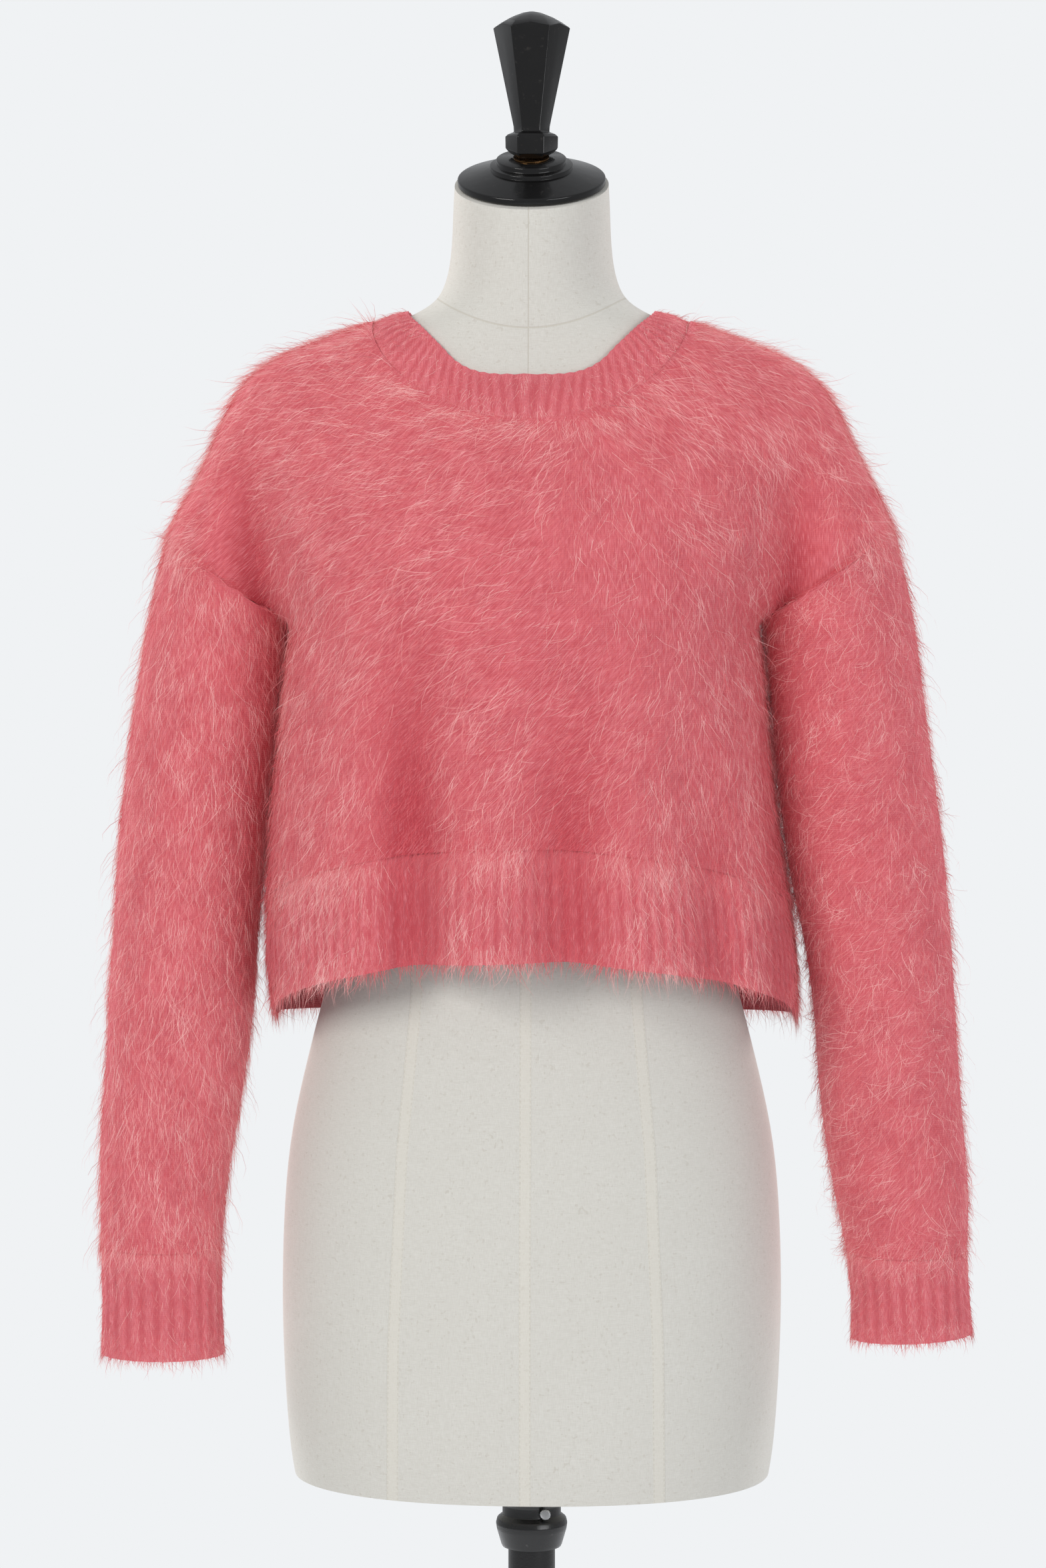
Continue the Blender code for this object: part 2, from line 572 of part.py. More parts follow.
def panel(name, face):
    """A body panel: its wall, with edges that meet the other pieces' edges squarely."""
    outer = softened(panel_points(face))
    if face == "back":
        outer = outer[:, ::-1]
    normal = grid_normals(outer, False)
    arm_rows = range(BODY_ROWS + 1, BODY_ROWS + ARMHOLE_ROWS)
    for i in (0, -1):
        for j in range(len(outer)):
            if j in arm_rows:
                out = np.sign(outer[j, i, 0])
                across = unit(np.array([out * ARMHOLE_RISE, 0, -1.0]))
                step = 1 if i == 0 else -1
                for k, share in ((i, 1.0), (i + step, 0.8), (i + 2 * step, 0.4)):
                    flat = normal[j, k] - across * (normal[j, k] @ across) * share
                    normal[j, k] = unit(flat)
            else:
                normal[j, i, 1] = 0
                normal[j, i] = unit(normal[j, i])
    normal[0, :, 2] = 0
    normal[0] = unit(normal[0])
    inner = outer - normal * WALL
    edge = -SEAM_GAP / 2 if face == "front" else SEAM_GAP / 2
    for i in (0, -1):
        for j in range(len(outer)):
            if j not in arm_rows:
                outer[j, i, 1] = edge
                inner[j, i, 1] = edge
    wall_object(name, outer, inner, False, "mohair_knit")
    return outer, inner


def resampled(outer, inner, count):
    """count + 1 pairs of points along a panel's edge, on its own straight stretches."""
    walked = np.concatenate([[0], np.cumsum(np.linalg.norm(np.diff(outer, axis=0), axis=1))])
    wanted = np.linspace(0, walked[-1], count + 1)
    lines = []
    for line in (outer, inner):
        lines.append(np.stack([np.interp(wanted, walked, line[:, i]) for i in range(3)], axis=1))
    return lines


def ribbed(outer, normal, count):
    """Moves every second column of a wall's outer points in, which leaves raised ribs."""
    groove = (np.arange(count) % 2).astype(float)[None, :, None]
    return outer - normal * groove * RIB_HEIGHT


def hem_rib(name, face, seam_outer, seam_inner):
    """The ribbed band below a panel: its top follows the panel's lower edge."""
    count = 2 * HEM_RIBS_EACH_SIDE
    top, top_inner = resampled(seam_outer, seam_inner, count)
    sign = 1 if face == "front" else -1
    half = np.where(top[:, 0] < 0, smooth(BODY_TABLE, 1, top[:, 2]), smooth(BODY_TABLE, 2, top[:, 2]))
    sine = np.clip(top[:, 0] / half, -1, 1)
    forward = np.sqrt(1 - sine**2) * sign
    rows = []
    for share in (1.0, 0.45, 0.0):
        low = hem_height(forward)
        z = low + (top[:, 2] - low) * share
        width = np.where(sine < 0, smooth(BODY_TABLE, 1, z), smooth(BODY_TABLE, 2, z))
        x = width * sine
        depth = cloth_depth(x, z, face)
        depth[0] = depth[-1] = 0.0
        rows.append(np.stack([x, -sign * depth, z], axis=1))
    rows[0] = top - np.array([0, 0, SEAM_GAP])
    outer = np.array(rows[::-1])
    normal = grid_normals(outer, False)
    normal[..., 2] = 0
    normal[:, (0, -1), 1] = 0
    normal = unit(normal)
    inner = outer - normal * WALL
    inner[-1] = top_inner - np.array([0, 0, SEAM_GAP])
    raised = ribbed(outer, normal, count + 1)
    edge = -sign * SEAM_GAP / 2
    for points in (raised, inner):
        points[:, 0, 1] = edge
        points[:, -1, 1] = edge
    return wall_object(name, raised, inner, False, "mohair_rib")


def form_top(x, y, face):
    """Height at which the form's shoulder or neck base stands under a point of the plan."""
    low, high = np.full(len(x), 1.30), np.full(len(x), 1.46)
    for _ in range(40):
        middle = (low + high) / 2
        inside = form_depth(x, middle, face) > np.maximum(np.abs(y), 1e-4)
        low, high = np.where(inside, middle, low), np.where(inside, high, middle)
    return (low + high) / 2


def neck_rest(turn, lift):
    """The line on the form where the neck's opening lies, moved out of the form by lift."""
    sine, cosine = np.sin(turn), np.cos(turn)
    front = cosine > 0
    x = NECK_REST_HALF * np.sign(sine) * np.abs(sine) ** NECK_SQUARENESS
    y = np.abs(cosine) ** NECK_SQUARENESS * np.where(front, -NECK_REST_FRONT, NECK_REST_BACK)
    both = [form_top(x, y, face) for face in ("front", "back")]
    z = np.where(front, both[0], both[1])
    line = np.stack([x, y, z], axis=1)
    slope = []
    for axis in (0, 1):
        moved = [np.where(np.arange(2) == axis, step, 0) for step in (0.002, -0.002)]
        heights = []
        for step in moved:
            tops = [form_top(x + step[0], y + step[1], face) for face in ("front", "back")]
            heights.append(np.where(front, tops[0], tops[1]))
        slope.append((heights[0] - heights[1]) / 0.004)
    normal = unit(np.stack([-slope[0], -slope[1], np.ones(len(x))], axis=1))
    return line + normal * lift


def neckband(front_edges, back_edges):
    """The ribbed band round the neck, from the panels' upper edges in to the neck's opening."""
    loops = []
    for front_line, back_line in zip(front_edges, back_edges):
        loops.append(np.concatenate([front_line[:-1], back_line[:-1], front_line[:1]]))
    count = 2 * NECK_RIBS
    seam, seam_inner = (line[:-1] for line in resampled(loops[0], loops[1], count))
    depth = np.where(seam[:, 1] < 0, 0.088, 0.070)
    turn = np.arctan2(seam[:, 0] / NECK_SEAM_HALF, -seam[:, 1] / depth)
    edge = neck_rest(turn, WALL + REST_GAP)
    shift = unit(edge - seam) * SEAM_GAP
    seam, seam_inner = seam + shift, seam_inner + shift
    outer = np.array([seam, seam * 0.5 + edge * 0.5, edge])
    normal = grid_normals(outer, True)
    outer[1] = outer[1] + normal[1] * 0.0012
    normal = grid_normals(outer, True)
    inner = outer - normal * WALL
    inner[0] = seam_inner
    return wall_object("neckband", ribbed(outer, normal, count), inner, True, "mohair_rib")


def crease_depth(side, turn, z):
    """The shallow slanting creases of a hanging sleeve."""
    total = np.zeros(np.broadcast(turn, z).shape)
    for where, height, middle, lean, half_height, depth in CREASE_TABLE:
        if where != side:
            continue
        away = np.angle(np.exp(1j * (turn - math.radians(middle))))
        line = (z - height - lean * away) / half_height
        total = total + depth * np.exp(-(line**2) - (away / 1.0) ** 2)
    return total


def arm_points(side, turn, z):
    """Points of a sleeve's outer surface at a turn from the front, outwards, and a height."""
    sign = -1 if side == "left" else 1
    middle, half_width, half_depth, middle_y = arm_section(side, z)
    shrink = crease_depth(side, turn, z)
    x = middle + (half_width + shrink) * np.sin(turn)
    y = middle_y - (half_depth + shrink) * np.cos(turn)
    return np.stack(np.broadcast_arrays(sign * x, y, z), axis=-1)


def armhole_edge(outer, side):
    """A panel's armhole edge on one side, from the armpit outwards."""
    column = 0 if (outer[0, 0, 0] < 0) == (side == "left") else -1
    return outer[BODY_ROWS : BODY_ROWS + ARMHOLE_ROWS + 1, column]


def sleeve(side, front_edge, back_edge):
    """A sleeve's wall from the armhole seam's sloping plane down to the cuff's level seam."""
    sign = -1 if side == "left" else 1
    turn = circle(SLEEVE_ROUND)
    start = smooth(BODY_TABLE, 1 if side == "left" else 2, ARMPIT_Z)
    top = np.full(SLEEVE_ROUND, ARMPIT_Z)
    for _ in range(60):
        reach = np.abs(arm_points(side, turn, top)[:, 0])
        top = 0.5 * top + 0.5 * (ARMPIT_Z - SEAM_GAP * 1.4 + (reach - start) * ARMHOLE_RISE)
    low = CUFF_SPANS[side][0] + SEAM_GAP
    share = np.linspace(0, 1, SLEEVE_ROWS + 1)[::-1, None]
    z = top + (low - top) * share
    outer = arm_points(side, turn[None, :] + 0 * z, z)
    reach = np.abs(outer[-1, :, 0])
    seam_y = [np.interp(reach, np.abs(edge[:, 0]), edge[:, 1]) for edge in (front_edge, back_edge)]
    shift = np.where(np.cos(turn) > 0, seam_y[0], seam_y[1]) - outer[-1, :, 1]
    for row, part in ((-1, 1.0), (-2, 0.6), (-3, 0.2)):
        outer[row, :, 1] += shift * part
    if side == "left":
        outer = outer[:, ::-1]
    normal = grid_normals(outer, True)
    across = unit(np.array([sign * ARMHOLE_RISE, 0, -1.0]))
    normal[-1] = unit(normal[-1] - (normal[-1] @ across)[:, None] * across)
    normal[0, :, 2] = 0
    normal[0] = unit(normal[0])
    inner = outer - normal * WALL
    return wall_object("sleeve_" + side, outer, inner, True, "mohair_knit")


def cuff(side):
    """The ribbed end of a sleeve."""
    top, low = CUFF_SPANS[side]
    count = 2 * CUFF_RIBS
    turn = circle(count)
    edge = low + CUFF_SLANTS[side] * 0.09 * (0.5 + 0.5 * np.sin(turn))
    z = edge + (top - edge) * np.linspace(0, 1, 3)[:, None]
    outer = arm_points(side, turn[None, :] + 0 * z, z)
    if side == "left":
        outer = outer[:, ::-1]
    normal = grid_normals(outer, True)
    normal[..., 2] = 0
    normal = unit(normal)
    inner = outer - normal * WALL
    return wall_object("cuff_" + side, ribbed(outer, normal, count), inner, True, "mohair_rib")


def hexagon_radius(turn, corner):
    """Radius of a six sided section with corners at plus and minus X."""
    within = np.mod(turn - np.pi / 2, np.pi / 3) - np.pi / 6
    return corner * math.cos(math.pi / 6) / np.cos(within)


def knob():
    """The six sided knob: a faceted bead, a neck, a tapered grip and a domed end."""
    turn = circle(12, math.pi / 2)
    rings = []
    for z, corner, share in KNOB_TABLE:
        radius = hexagon_radius(turn, corner)
        x, y = radius * np.sin(turn), -radius * np.cos(turn)
        rings.append(np.stack([x, y, z + y * math.tan(NECK_TILT) * share], axis=1))
    rim_z, rim = KNOB_TABLE[-1][0], KNOB_TABLE[-1][1]
    radius = hexagon_radius(turn, rim)
    rings[-1][:, 2] = rim_z + (rim - radius) * 0.7
    for share in (0.80, 0.55, 0.28, 0.08):
        ring = radius * share
        z = rim_z + (KNOB_TOP_Z - rim_z) * (1 - (ring / rim) ** 1.7)
        rings.append(np.stack([ring * np.sin(turn), -ring * np.cos(turn), z], axis=1))
    return ring_object("knob", rings, "black_wood", False)


def screw():
    """The collar's locking screw: a low round head that faces forwards."""
    x, z = SCREW_SPOT
    angle = circle(12)
    rings = []
    for out, radius in ((0.0000, 1.0), (0.0013, 1.0), (0.0019, 0.85), (0.0021, 0.5)):
        ring_x = x + SCREW_RADIUS * radius * np.sin(angle)
        ring_z = z - SCREW_RADIUS * radius * np.cos(angle)
        rings.append(np.stack([ring_x, np.full(12, SCREW_BACK_Y - out), ring_z], axis=1))
    return ring_object("collar_screw", rings, "screw_steel")


def clear_scene():
    for obj in list(bpy.data.objects):
        bpy.data.objects.remove(obj, do_unlink=True)


def build():
    """Makes every piece."""
    clear_scene()
    front_outer, front_inner = panel("front", "front")
    back_outer, back_inner = panel("back", "back")
    hem_rib("hem_rib_front", "front", front_outer[0], front_inner[0])
    hem_rib("hem_rib_back", "back", back_outer[0], back_inner[0])
    neckband((front_outer[-1], front_inner[-1]), (back_outer[-1], back_inner[-1]))
    for side in ("left", "right"):
        sleeve(side, armhole_edge(front_outer, side), armhole_edge(back_outer, side))
        cuff(side)
    ring_object("dress_form", form_rings(), "linen_cover")
    ring_object("neck_cap", tilted(turned_rings(CAP_TABLE, 32), NECK_TOP_Z, NECK_TILT), "black_wood")
    washer = tilted(turned_rings(WASHER_TABLE, 16), NECK_TOP_Z, NECK_TILT)
    ring_object("knob_washer", washer, "brass_washer")
    knob()
    ring_object("collar", turned_rings(COLLAR_TABLE, 24), "black_metal")
    screw()
    pole = ((0.0443, POLE_RADIUS), (0.3, POLE_RADIUS), (0.5727, POLE_RADIUS))
    ring_object("pole", turned_rings(pole, 24), "black_metal")
    ring_object("foot", turned_rings(FOOT_TABLE, 36), "black_metal")


build()
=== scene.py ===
# %% [markdown]
# # A cropped mohair pullover on a dress form
#
# The real object is a short brushed jumper with dropped shoulders and ribbed bands, shown on a
# linen covered form under a black turned cap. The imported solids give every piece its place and
# its main shape, so this lesson starts from them and adds what a solid can't carry: the soft
# nap of loose fibre, the knit under it, the weave and seams of the linen, and the lacquer.

import math

import bmesh
import bpy
import numpy as np
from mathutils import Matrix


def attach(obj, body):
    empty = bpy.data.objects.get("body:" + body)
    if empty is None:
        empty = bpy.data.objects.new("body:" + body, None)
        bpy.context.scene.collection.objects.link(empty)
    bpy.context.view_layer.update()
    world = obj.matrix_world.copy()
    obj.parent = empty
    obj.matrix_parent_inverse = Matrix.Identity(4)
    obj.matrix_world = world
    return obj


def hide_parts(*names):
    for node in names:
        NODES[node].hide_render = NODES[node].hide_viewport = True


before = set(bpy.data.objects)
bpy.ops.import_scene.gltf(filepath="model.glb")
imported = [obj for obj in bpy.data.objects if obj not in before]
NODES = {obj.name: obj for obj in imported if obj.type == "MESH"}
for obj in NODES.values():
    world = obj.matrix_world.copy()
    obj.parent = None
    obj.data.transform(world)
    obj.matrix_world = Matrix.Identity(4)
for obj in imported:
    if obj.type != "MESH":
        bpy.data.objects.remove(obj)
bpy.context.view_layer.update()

# %% [markdown]
# ## Shader maths
#
# A material is easier to read as a sum than as a picture of wires. The class below wraps one
# socket, so that adding or multiplying values makes Math nodes. Colours never pass through a
# Math node, because that turns them grey: they are blended with Mix nodes.


# %% Shader maths
class Value:
    """One output socket. Arithmetic on it adds the Math node that does the sum."""

    def __init__(self, tree, socket):
        self.tree, self.socket = tree, socket

    def maths(self, operation, *terms):
        """A Math node of one kind, with this value or others as its terms."""
        node = self.tree.nodes.new("ShaderNodeMath")
        node.operation = operation
        for slot, term in zip(node.inputs, terms):
            plug(self.tree, slot, term)
        return Value(self.tree, node.outputs[0])

    def __add__(self, other):
        return self.maths("ADD", self, other)

    def __sub__(self, other):
        return self.maths("SUBTRACT", self, other)

    def __rsub__(self, other):
        return self.maths("SUBTRACT", other, self)

    def __mul__(self, other):
        return self.maths("MULTIPLY", self, other)

    def __truediv__(self, other):
        return self.maths("DIVIDE", self, other)

    def __pow__(self, power):
        return self.maths("POWER", self, power)

    __radd__ = __add__
    __rmul__ = __mul__

    def size(self):
        """The value without its sign."""
        return self.maths("ABSOLUTE", self)

    def wave(self):
        """The sine of the value."""
        return self.maths("SINE", self)


def plug(tree, slot, value):
    """Links a wrapped socket to an input, or sets a plain number or colour on it."""
    if isinstance(value, Value):
        tree.links.new(value.socket, slot)
    else:
        slot.default_value = value


class Finish:
    """A material under construction: its tree, its Principled shader and one way to add nodes."""

    def __init__(self, name, **fixed):
        self.material = bpy.data.materials.new(name)
        self.material.use_nodes = True
        self.tree = self.material.node_tree
        self.shader = self.tree.nodes["Principled BSDF"]
        for key, value in fixed.items():
            self.shader.inputs[key.replace("_", " ")].default_value = value

    def node(self, kind, settings=None, sockets=None, out=0):
        """Adds a node: its settings first, then its sockets by name or number."""
        made = self.tree.nodes.new("ShaderNode" + kind)
        for key, value in (settings or {}).items():
            if key == "stops":
                ramp = made.color_ramp
                while len(ramp.elements) < len(value):
                    ramp.elements.new(0.5)
                for element, (place, colour) in zip(ramp.elements, value):
                    element.position, element.color = place, colour
            else:
                setattr(made, key, value)
        for key, value in (sockets or {}).items():
            plug(self.tree, made.inputs[key], value)
        return Value(self.tree, made.outputs[out])

    def mix(self, share, first, second):
        """Blends two colours by a share from 0 to 1."""
        sockets = {0: share, 6: first, 7: second}
        return self.node("Mix", {"data_type": "RGBA"}, sockets, 2)

    def over(self, colour, *layers):
        """Lays colours over a first one in turn, each by its own share."""
        for share, top in layers:
            colour = self.mix(share, colour, top)
        return colour

    def ramp(self, value, low, high):
        """0 at low, 1 at high, straight between and flat outside."""
        sockets = {0: value, 1: low, 2: high}
        return self.node("MapRange", {"clamp": True}, sockets)

    def axes(self, vector):
        """The X, Y and Z of a vector as three values."""
        split = self.node("SeparateXYZ", None, {0: vector})
        return [Value(self.tree, split.socket.node.outputs[i]) for i in range(3)]

    def noise(self, vector, scale, detail=2.0):
        """Soft noise near 0.5, with so many cells a metre where the vector is a place."""
        return self.node("TexNoise", None, {"Vector": vector, "Scale": scale, "Detail": detail})

    def place(self):
        """Object coordinates, in metres, the same for every piece."""
        return self.node("TexCoord", None, None, 3)

    def chart(self):
        """The piece's own UV map."""
        return self.node("TexCoord", None, None, 2)

    def bump(self, height, distance, strength=1.0):
        """A normal that leans with the slope of a height from 0 to 1, which stands for a distance."""
        sockets = {"Height": height, "Distance": distance, "Strength": strength}
        return self.node("Bump", None, sockets)

    def wear(self, **links):
        """Links what varies to the shader and returns the material."""
        for key, value in links.items():
            plug(self.tree, self.shader.inputs[key.replace("_", " ")], value)
        return self.material


def rgb(red, green, blue):
    """A colour given as a screen shows it, from 0 to 255, in the linear values a shader takes."""
    shares = (channel / 255 for channel in (red, green, blue))
    return (*(s / 12.92 if s < 0.04045 else ((s + 0.055) / 1.055) ** 2.4 for s in shares), 1.0)


# %% [markdown]
# ## Cloth shells
#
# Each knitted panel is a thin wall. Its solid already has the worn shape, in flat facets. A copy
# with its doubles merged and its triangles joined to four sided faces takes a Subdivision
# Surface well, and comes out as the same wall with a smooth skin. The rims are creased, so that
# seams stay closed. The ribbed bands are divided without smoothing, because smoothing would eat
# two thirds of each rib.

# %% Copy a solid as a smooth shell
MERGE = 1e-5
RIM_ANGLE = math.radians(50)
JOIN_ANGLE, JOIN_SHAPE = 0.9, 1.2  # radians: how uneven two triangles may be and still join


def sharpen(mesh):
    """Marks the edges where two faces meet at more than the rim's angle, so rims stay square."""
    work = bmesh.new()
    work.from_mesh(mesh)
    for edge in work.edges:
        edge.smooth = len(edge.link_faces) != 2 or edge.calc_face_angle() < RIM_ANGLE
    work.to_mesh(mesh)
    work.free()
    mesh.update()


def clean_mesh(name, source):
    """A solid's mesh merged, joined to four sided faces and creased along its rims."""
    mesh = bpy.data.meshes.new(name)
    work = bmesh.new()
    work.from_mesh(source)
    bmesh.ops.remove_doubles(work, verts=work.verts, dist=MERGE)
    bmesh.ops.join_triangles(
        work, faces=work.faces, angle_face_threshold=JOIN_ANGLE, angle_shape_threshold=JOIN_SHAPE
    )
    crease = work.edges.layers.float.new("crease_edge")
    for edge in work.edges:
        if len(edge.link_faces) == 2 and edge.calc_face_angle() > RIM_ANGLE:
            edge[crease] = 1.0
    work.to_mesh(mesh)
    work.free()
    return mesh


def linked(name, data):
    """A new object that holds the data, put into the scene."""
    obj = bpy.data.objects.new(name, data)
    bpy.context.scene.collection.objects.link(obj)
    return obj


def smooth_copy(name, node, levels, kind="CATMULL_CLARK"):
    """A finer copy of a solid: its clean mesh divided, shaded smooth and sharp at its rims."""
    obj = linked(name, clean_mesh(name, NODES[node].data))
    divide = obj.modifiers.new("finer", "SUBSURF")
    divide.subdivision_type = kind
    divide.levels = divide.render_levels = levels
    graph = bpy.context.evaluated_depsgraph_get()
    fine = bpy.data.meshes.new_from_object(obj.evaluated_get(graph))
    obj.modifiers.clear()
    obj.data = fine
    fine.materials.clear()
    fine.shade_smooth()
    sharpen(fine)
    return obj


# %% Read and write a mesh as whole arrays
def read(items, name, kind=np.float32, width=1):
    """One value of every item as an array, with a row for each item where it has several parts."""
    out = np.empty(len(items) * width, kind)
    items.foreach_get(name, out)
    return out.reshape(-1, width) if width > 1 else out


def write_points(mesh, points):
    """Moves every point of a mesh to its row of the array."""
    mesh.vertices.foreach_set("co", points.astype(np.float32).ravel())
    mesh.update()


def keep(mesh, name, values):
    """Keeps one number for each point on the mesh, where a material can read it."""
    layer = mesh.attributes.new(name, "FLOAT", "POINT")
    layer.data.foreach_set("value", values.astype(np.float32))


def unit(vectors):
    """Each vector divided by its length."""
    return vectors / np.maximum(np.linalg.norm(vectors, axis=-1, keepdims=True), 1e-12)


def points_of(mesh):
    """Every point's place."""
    return read(mesh.vertices, "co", width=3).astype(float)


def normals_of(mesh):
    """Every point's normal: the mean of the faces round it."""
    return read(mesh.vertex_normals, "vector", width=3).astype(float)


def triangles_of(mesh):
    """The three points of every triangle."""
    mesh.calc_loop_triangles()
    return read(mesh.loop_triangles, "vertices", np.int32, 3)


def corner_normals_of(mesh):
    """The shading normal at each corner of each triangle, which stays square at a rim."""
    corners = read(mesh.loop_triangles, "loops", np.int32, 3)
    return read(mesh.corner_normals, "vector", width=3)[corners].astype(float)


def swell(obj, distance):
    """Moves every point out along its normal, so that two rims that nearly meet close up."""
    write_points(obj.data, points_of(obj.data) + normals_of(obj.data) * distance)


def area_of(obj):
    """The surface of a piece: half the length of each triangle's cross product, added up."""
    points, faces = points_of(obj.data), triangles_of(obj.data)
    a, b, c = (points[faces[:, i]] for i in range(3))
    return float(np.linalg.norm(np.cross(b - a, c - a), axis=1).sum() / 2)


# %% Make the cloth shells
BODY_PANELS = ("front", "back")
HEM_BANDS = ("hem_rib_front", "hem_rib_back")
SLEEVES = ("sleeve_left", "sleeve_right")
CUFFS = ("cuff_left", "cuff_right")
KNIT_LEVELS = 1
SEAM_SWELL = 0.0002
cloth = {}
for node in (*BODY_PANELS, *SLEEVES):
    cloth[node] = smooth_copy("knit_" + node, node, KNIT_LEVELS)
for node in (*HEM_BANDS, *CUFFS, "neckband"):
    cloth[node] = smooth_copy("rib_" + node, node, 1, "SIMPLE")
for node, obj in cloth.items():
    swell(obj, SEAM_SWELL)
    print(obj.name, "faces", len(obj.data.polygons), "skin m2", round(area_of(obj), 4))

# %% [markdown]
# ## Folds of the lower front
#
# The jumper hangs in three soft upright hollows below the chest, and a groove runs up from each
# armpit. The solids hold them shallow, so the shells are pressed in a little more here. Each row
# of the table is one hollow: its middle at its lower and its upper end, its half width and its
# depth, which fades out over the upper part of its height.

# %% Press the folds in
# Columns: x and z of the lower end, x and z of the upper end, half width, depth.
FOLD_TABLE = (
    (-0.076, 0.95, -0.074, 1.275, 0.021, 0.0090),
    (0.032, 0.95, 0.032, 1.225, 0.023, 0.0072),
    (0.126, 0.95, 0.126, 1.150, 0.016, 0.0050),
    (-0.183, 1.20, -0.199, 1.370, 0.011, 0.0062),
    (0.172, 1.20, 0.192, 1.360, 0.011, 0.0055),
)
FOLD_EASE = 0.75  # share of a hollow's height over which it fades


def fold_share(points):
    """Depth of the hollows at each point: a bell across each one, easing out up to its top."""
    depth = np.zeros(len(points))
    for x_low, z_low, x_high, z_high, half_width, full in FOLD_TABLE:
        share = (points[:, 2] - z_low) / (z_high - z_low)
        middle = x_low + (x_high - x_low) * np.clip(share, 0, 1)
        rise = np.clip((1 - share) / FOLD_EASE, 0, 1)
        bell = np.exp(-(((points[:, 0] - middle) / half_width) ** 2))
        depth += full * bell * rise * rise * (3 - 2 * rise)
    return depth


for node in ("front", "hem_rib_front"):
    points = points_of(cloth[node].data)
    depth = fold_share(points)
    points[:, 1] += depth
    write_points(cloth[node].data, points)
    print(node, "pressed in by up to", round(depth.max(), 4))

# %% [markdown]
# ## Where the cloth runs
#
# Knit stitches, ribs and nap all need to know which way the cloth runs and which side of the
# wall is outside. The body is read round its own upright axis. A sleeve hangs a little
# outwards, so its axis is a straight line fitted through the sleeve and its cuff.

# %% Axes of the body and the sleeves
AXIS_LOW, AXIS_HIGH, AXIS_LEVELS = 0.02, 1.18, 12  # above the cuff's rim, below the armpit
AXIS_RING = 0.03  # half height of the ring that gives one middle


def sleeve_axis(side):
    """Middle of a sleeve as a line in height: X and Y fitted to the points of tube and cuff."""
    points = np.concatenate([points_of(cloth[p + side].data) for p in ("sleeve_", "cuff_")])
    levels = np.linspace(points[:, 2].min() + AXIS_LOW, AXIS_HIGH, AXIS_LEVELS)
    middles = []
    for level in levels:
        ring = points[np.abs(points[:, 2] - level) < AXIS_RING]
        middles.append((ring.min(0) + ring.max(0)) / 2)
    middles = np.array(middles)
    return np.polyfit(levels, middles[:, 0], 2), np.polyfit(levels, middles[:, 1], 1)


AXES = {side: sleeve_axis(side) for side in ("left", "right")}
SLEEVE_TOP = 1.20  # above this height a sleeve's axis is held where it is
BODY_SQUASH = 1.3  # how much wider than deep the body is, taken out before angles are read
BODY_CORE, BODY_FLAT = 0.10, 0.6  # half width of the core, and share of x left out beyond it
SHOULDER_START, SHOULDER_RISE = 1.22, 0.8  # from this height the cloth turns upwards


def outward(node, points):
    """A rough direction out of the body, out of a sleeve's axis, or out and up for the neckband."""
    side = node.split("_")[-1]
    if node.startswith(("sleeve", "cuff")):
        across, depth = AXES[side]
        height = np.minimum(points[:, 2], SLEEVE_TOP)
        x = points[:, 0] - np.polyval(across, height)
        y = points[:, 1] - np.polyval(depth, height)
        out = np.stack([x, y, np.zeros(len(x))], axis=1)
    elif node == "neckband":
        out = points * (1, 1, 0)
        out[:, 2] = np.linalg.norm(out, axis=1)
    else:
        middle = np.clip(np.abs(points[:, 0]) - BODY_CORE, 0, None) * np.sign(points[:, 0])
        high = np.clip(points[:, 2] - SHOULDER_START, 0, None) * SHOULDER_RISE
        across = points[:, 0] - middle * BODY_FLAT
        out = np.stack([across, points[:, 1] * BODY_SQUASH, high], axis=1)
    return unit(out)


def round_turn(node, points):
    """Angle round the body, a sleeve or the neck, from the front towards plus X."""
    out = outward(node, points)
    return np.arctan2(out[:, 0], -out[:, 1])


# %% [markdown]
# ## A chart for the knit
#
# Stitches follow the cloth, so the shells get a UV map in metres: across is the angle times the
# tube's mean radius, and up is the height. A face that straddles the back of the tube would
# otherwise run right across the chart, so its low corners are moved on by one full turn.

# %% Chart the shells
CHART_RADIUS = {"body": 0.170, "sleeve": 0.046, "neckband": 0.085}
CHART_KIND = {"sleeve": "sleeve", "cuff": "sleeve", "neckband": "neckband"}


def chart_cloth(node, obj):
    """UV in metres. Body panels: X across. Tubes: angle times radius across. Height up."""
    mesh = obj.data
    points = points_of(mesh)
    corner = read(mesh.loops, "vertex_index", np.int32)
    starts = read(mesh.polygons, "loop_start", np.int32)
    turn = round_turn(node, points)[corner]
    first = np.repeat(np.maximum.reduceat(turn, starts), np.diff(np.append(starts, len(corner))))
    turn = np.where(first - turn > math.pi, turn + 2 * math.pi, turn)
    kind = CHART_KIND.get(node.split("_")[0], "body")
    across = turn * CHART_RADIUS[kind]
    up = points[corner, 2]
    if kind == "neckband":
        up = np.linalg.norm(points[corner, :2], axis=1)
    if node in BODY_PANELS:
        across = points[corner, 0]
    chart = mesh.uv_layers.new(name="chart")
    chart.data.foreach_set("uv", np.stack([across, up], axis=1).astype(np.float32).ravel())


for node, obj in cloth.items():
    chart_cloth(node, obj)

# %% [markdown]
# ## Ribs as a number
#
# A rib stands out of its neighbours and a groove lies behind them. The difference between a
# point and the mean of the points beside it, measured outwards, says which is which. It is kept
# on the mesh as an attribute from 0, a groove, to 1, a rib, so that colour and nap can follow it.

# %% Measure the ribs
RIB_REACH = 0.0060  # neighbours nearer than this lie across the rib, not along it
FADE_REACHES = (0.002, 0.004, 0.006, 0.008)
RIB_FULL = 0.0010  # difference in height between a rib and its groove that counts as whole
RIB_SINK = 0.0007  # how far a rib's middle height lies under the panel's skin at a seam


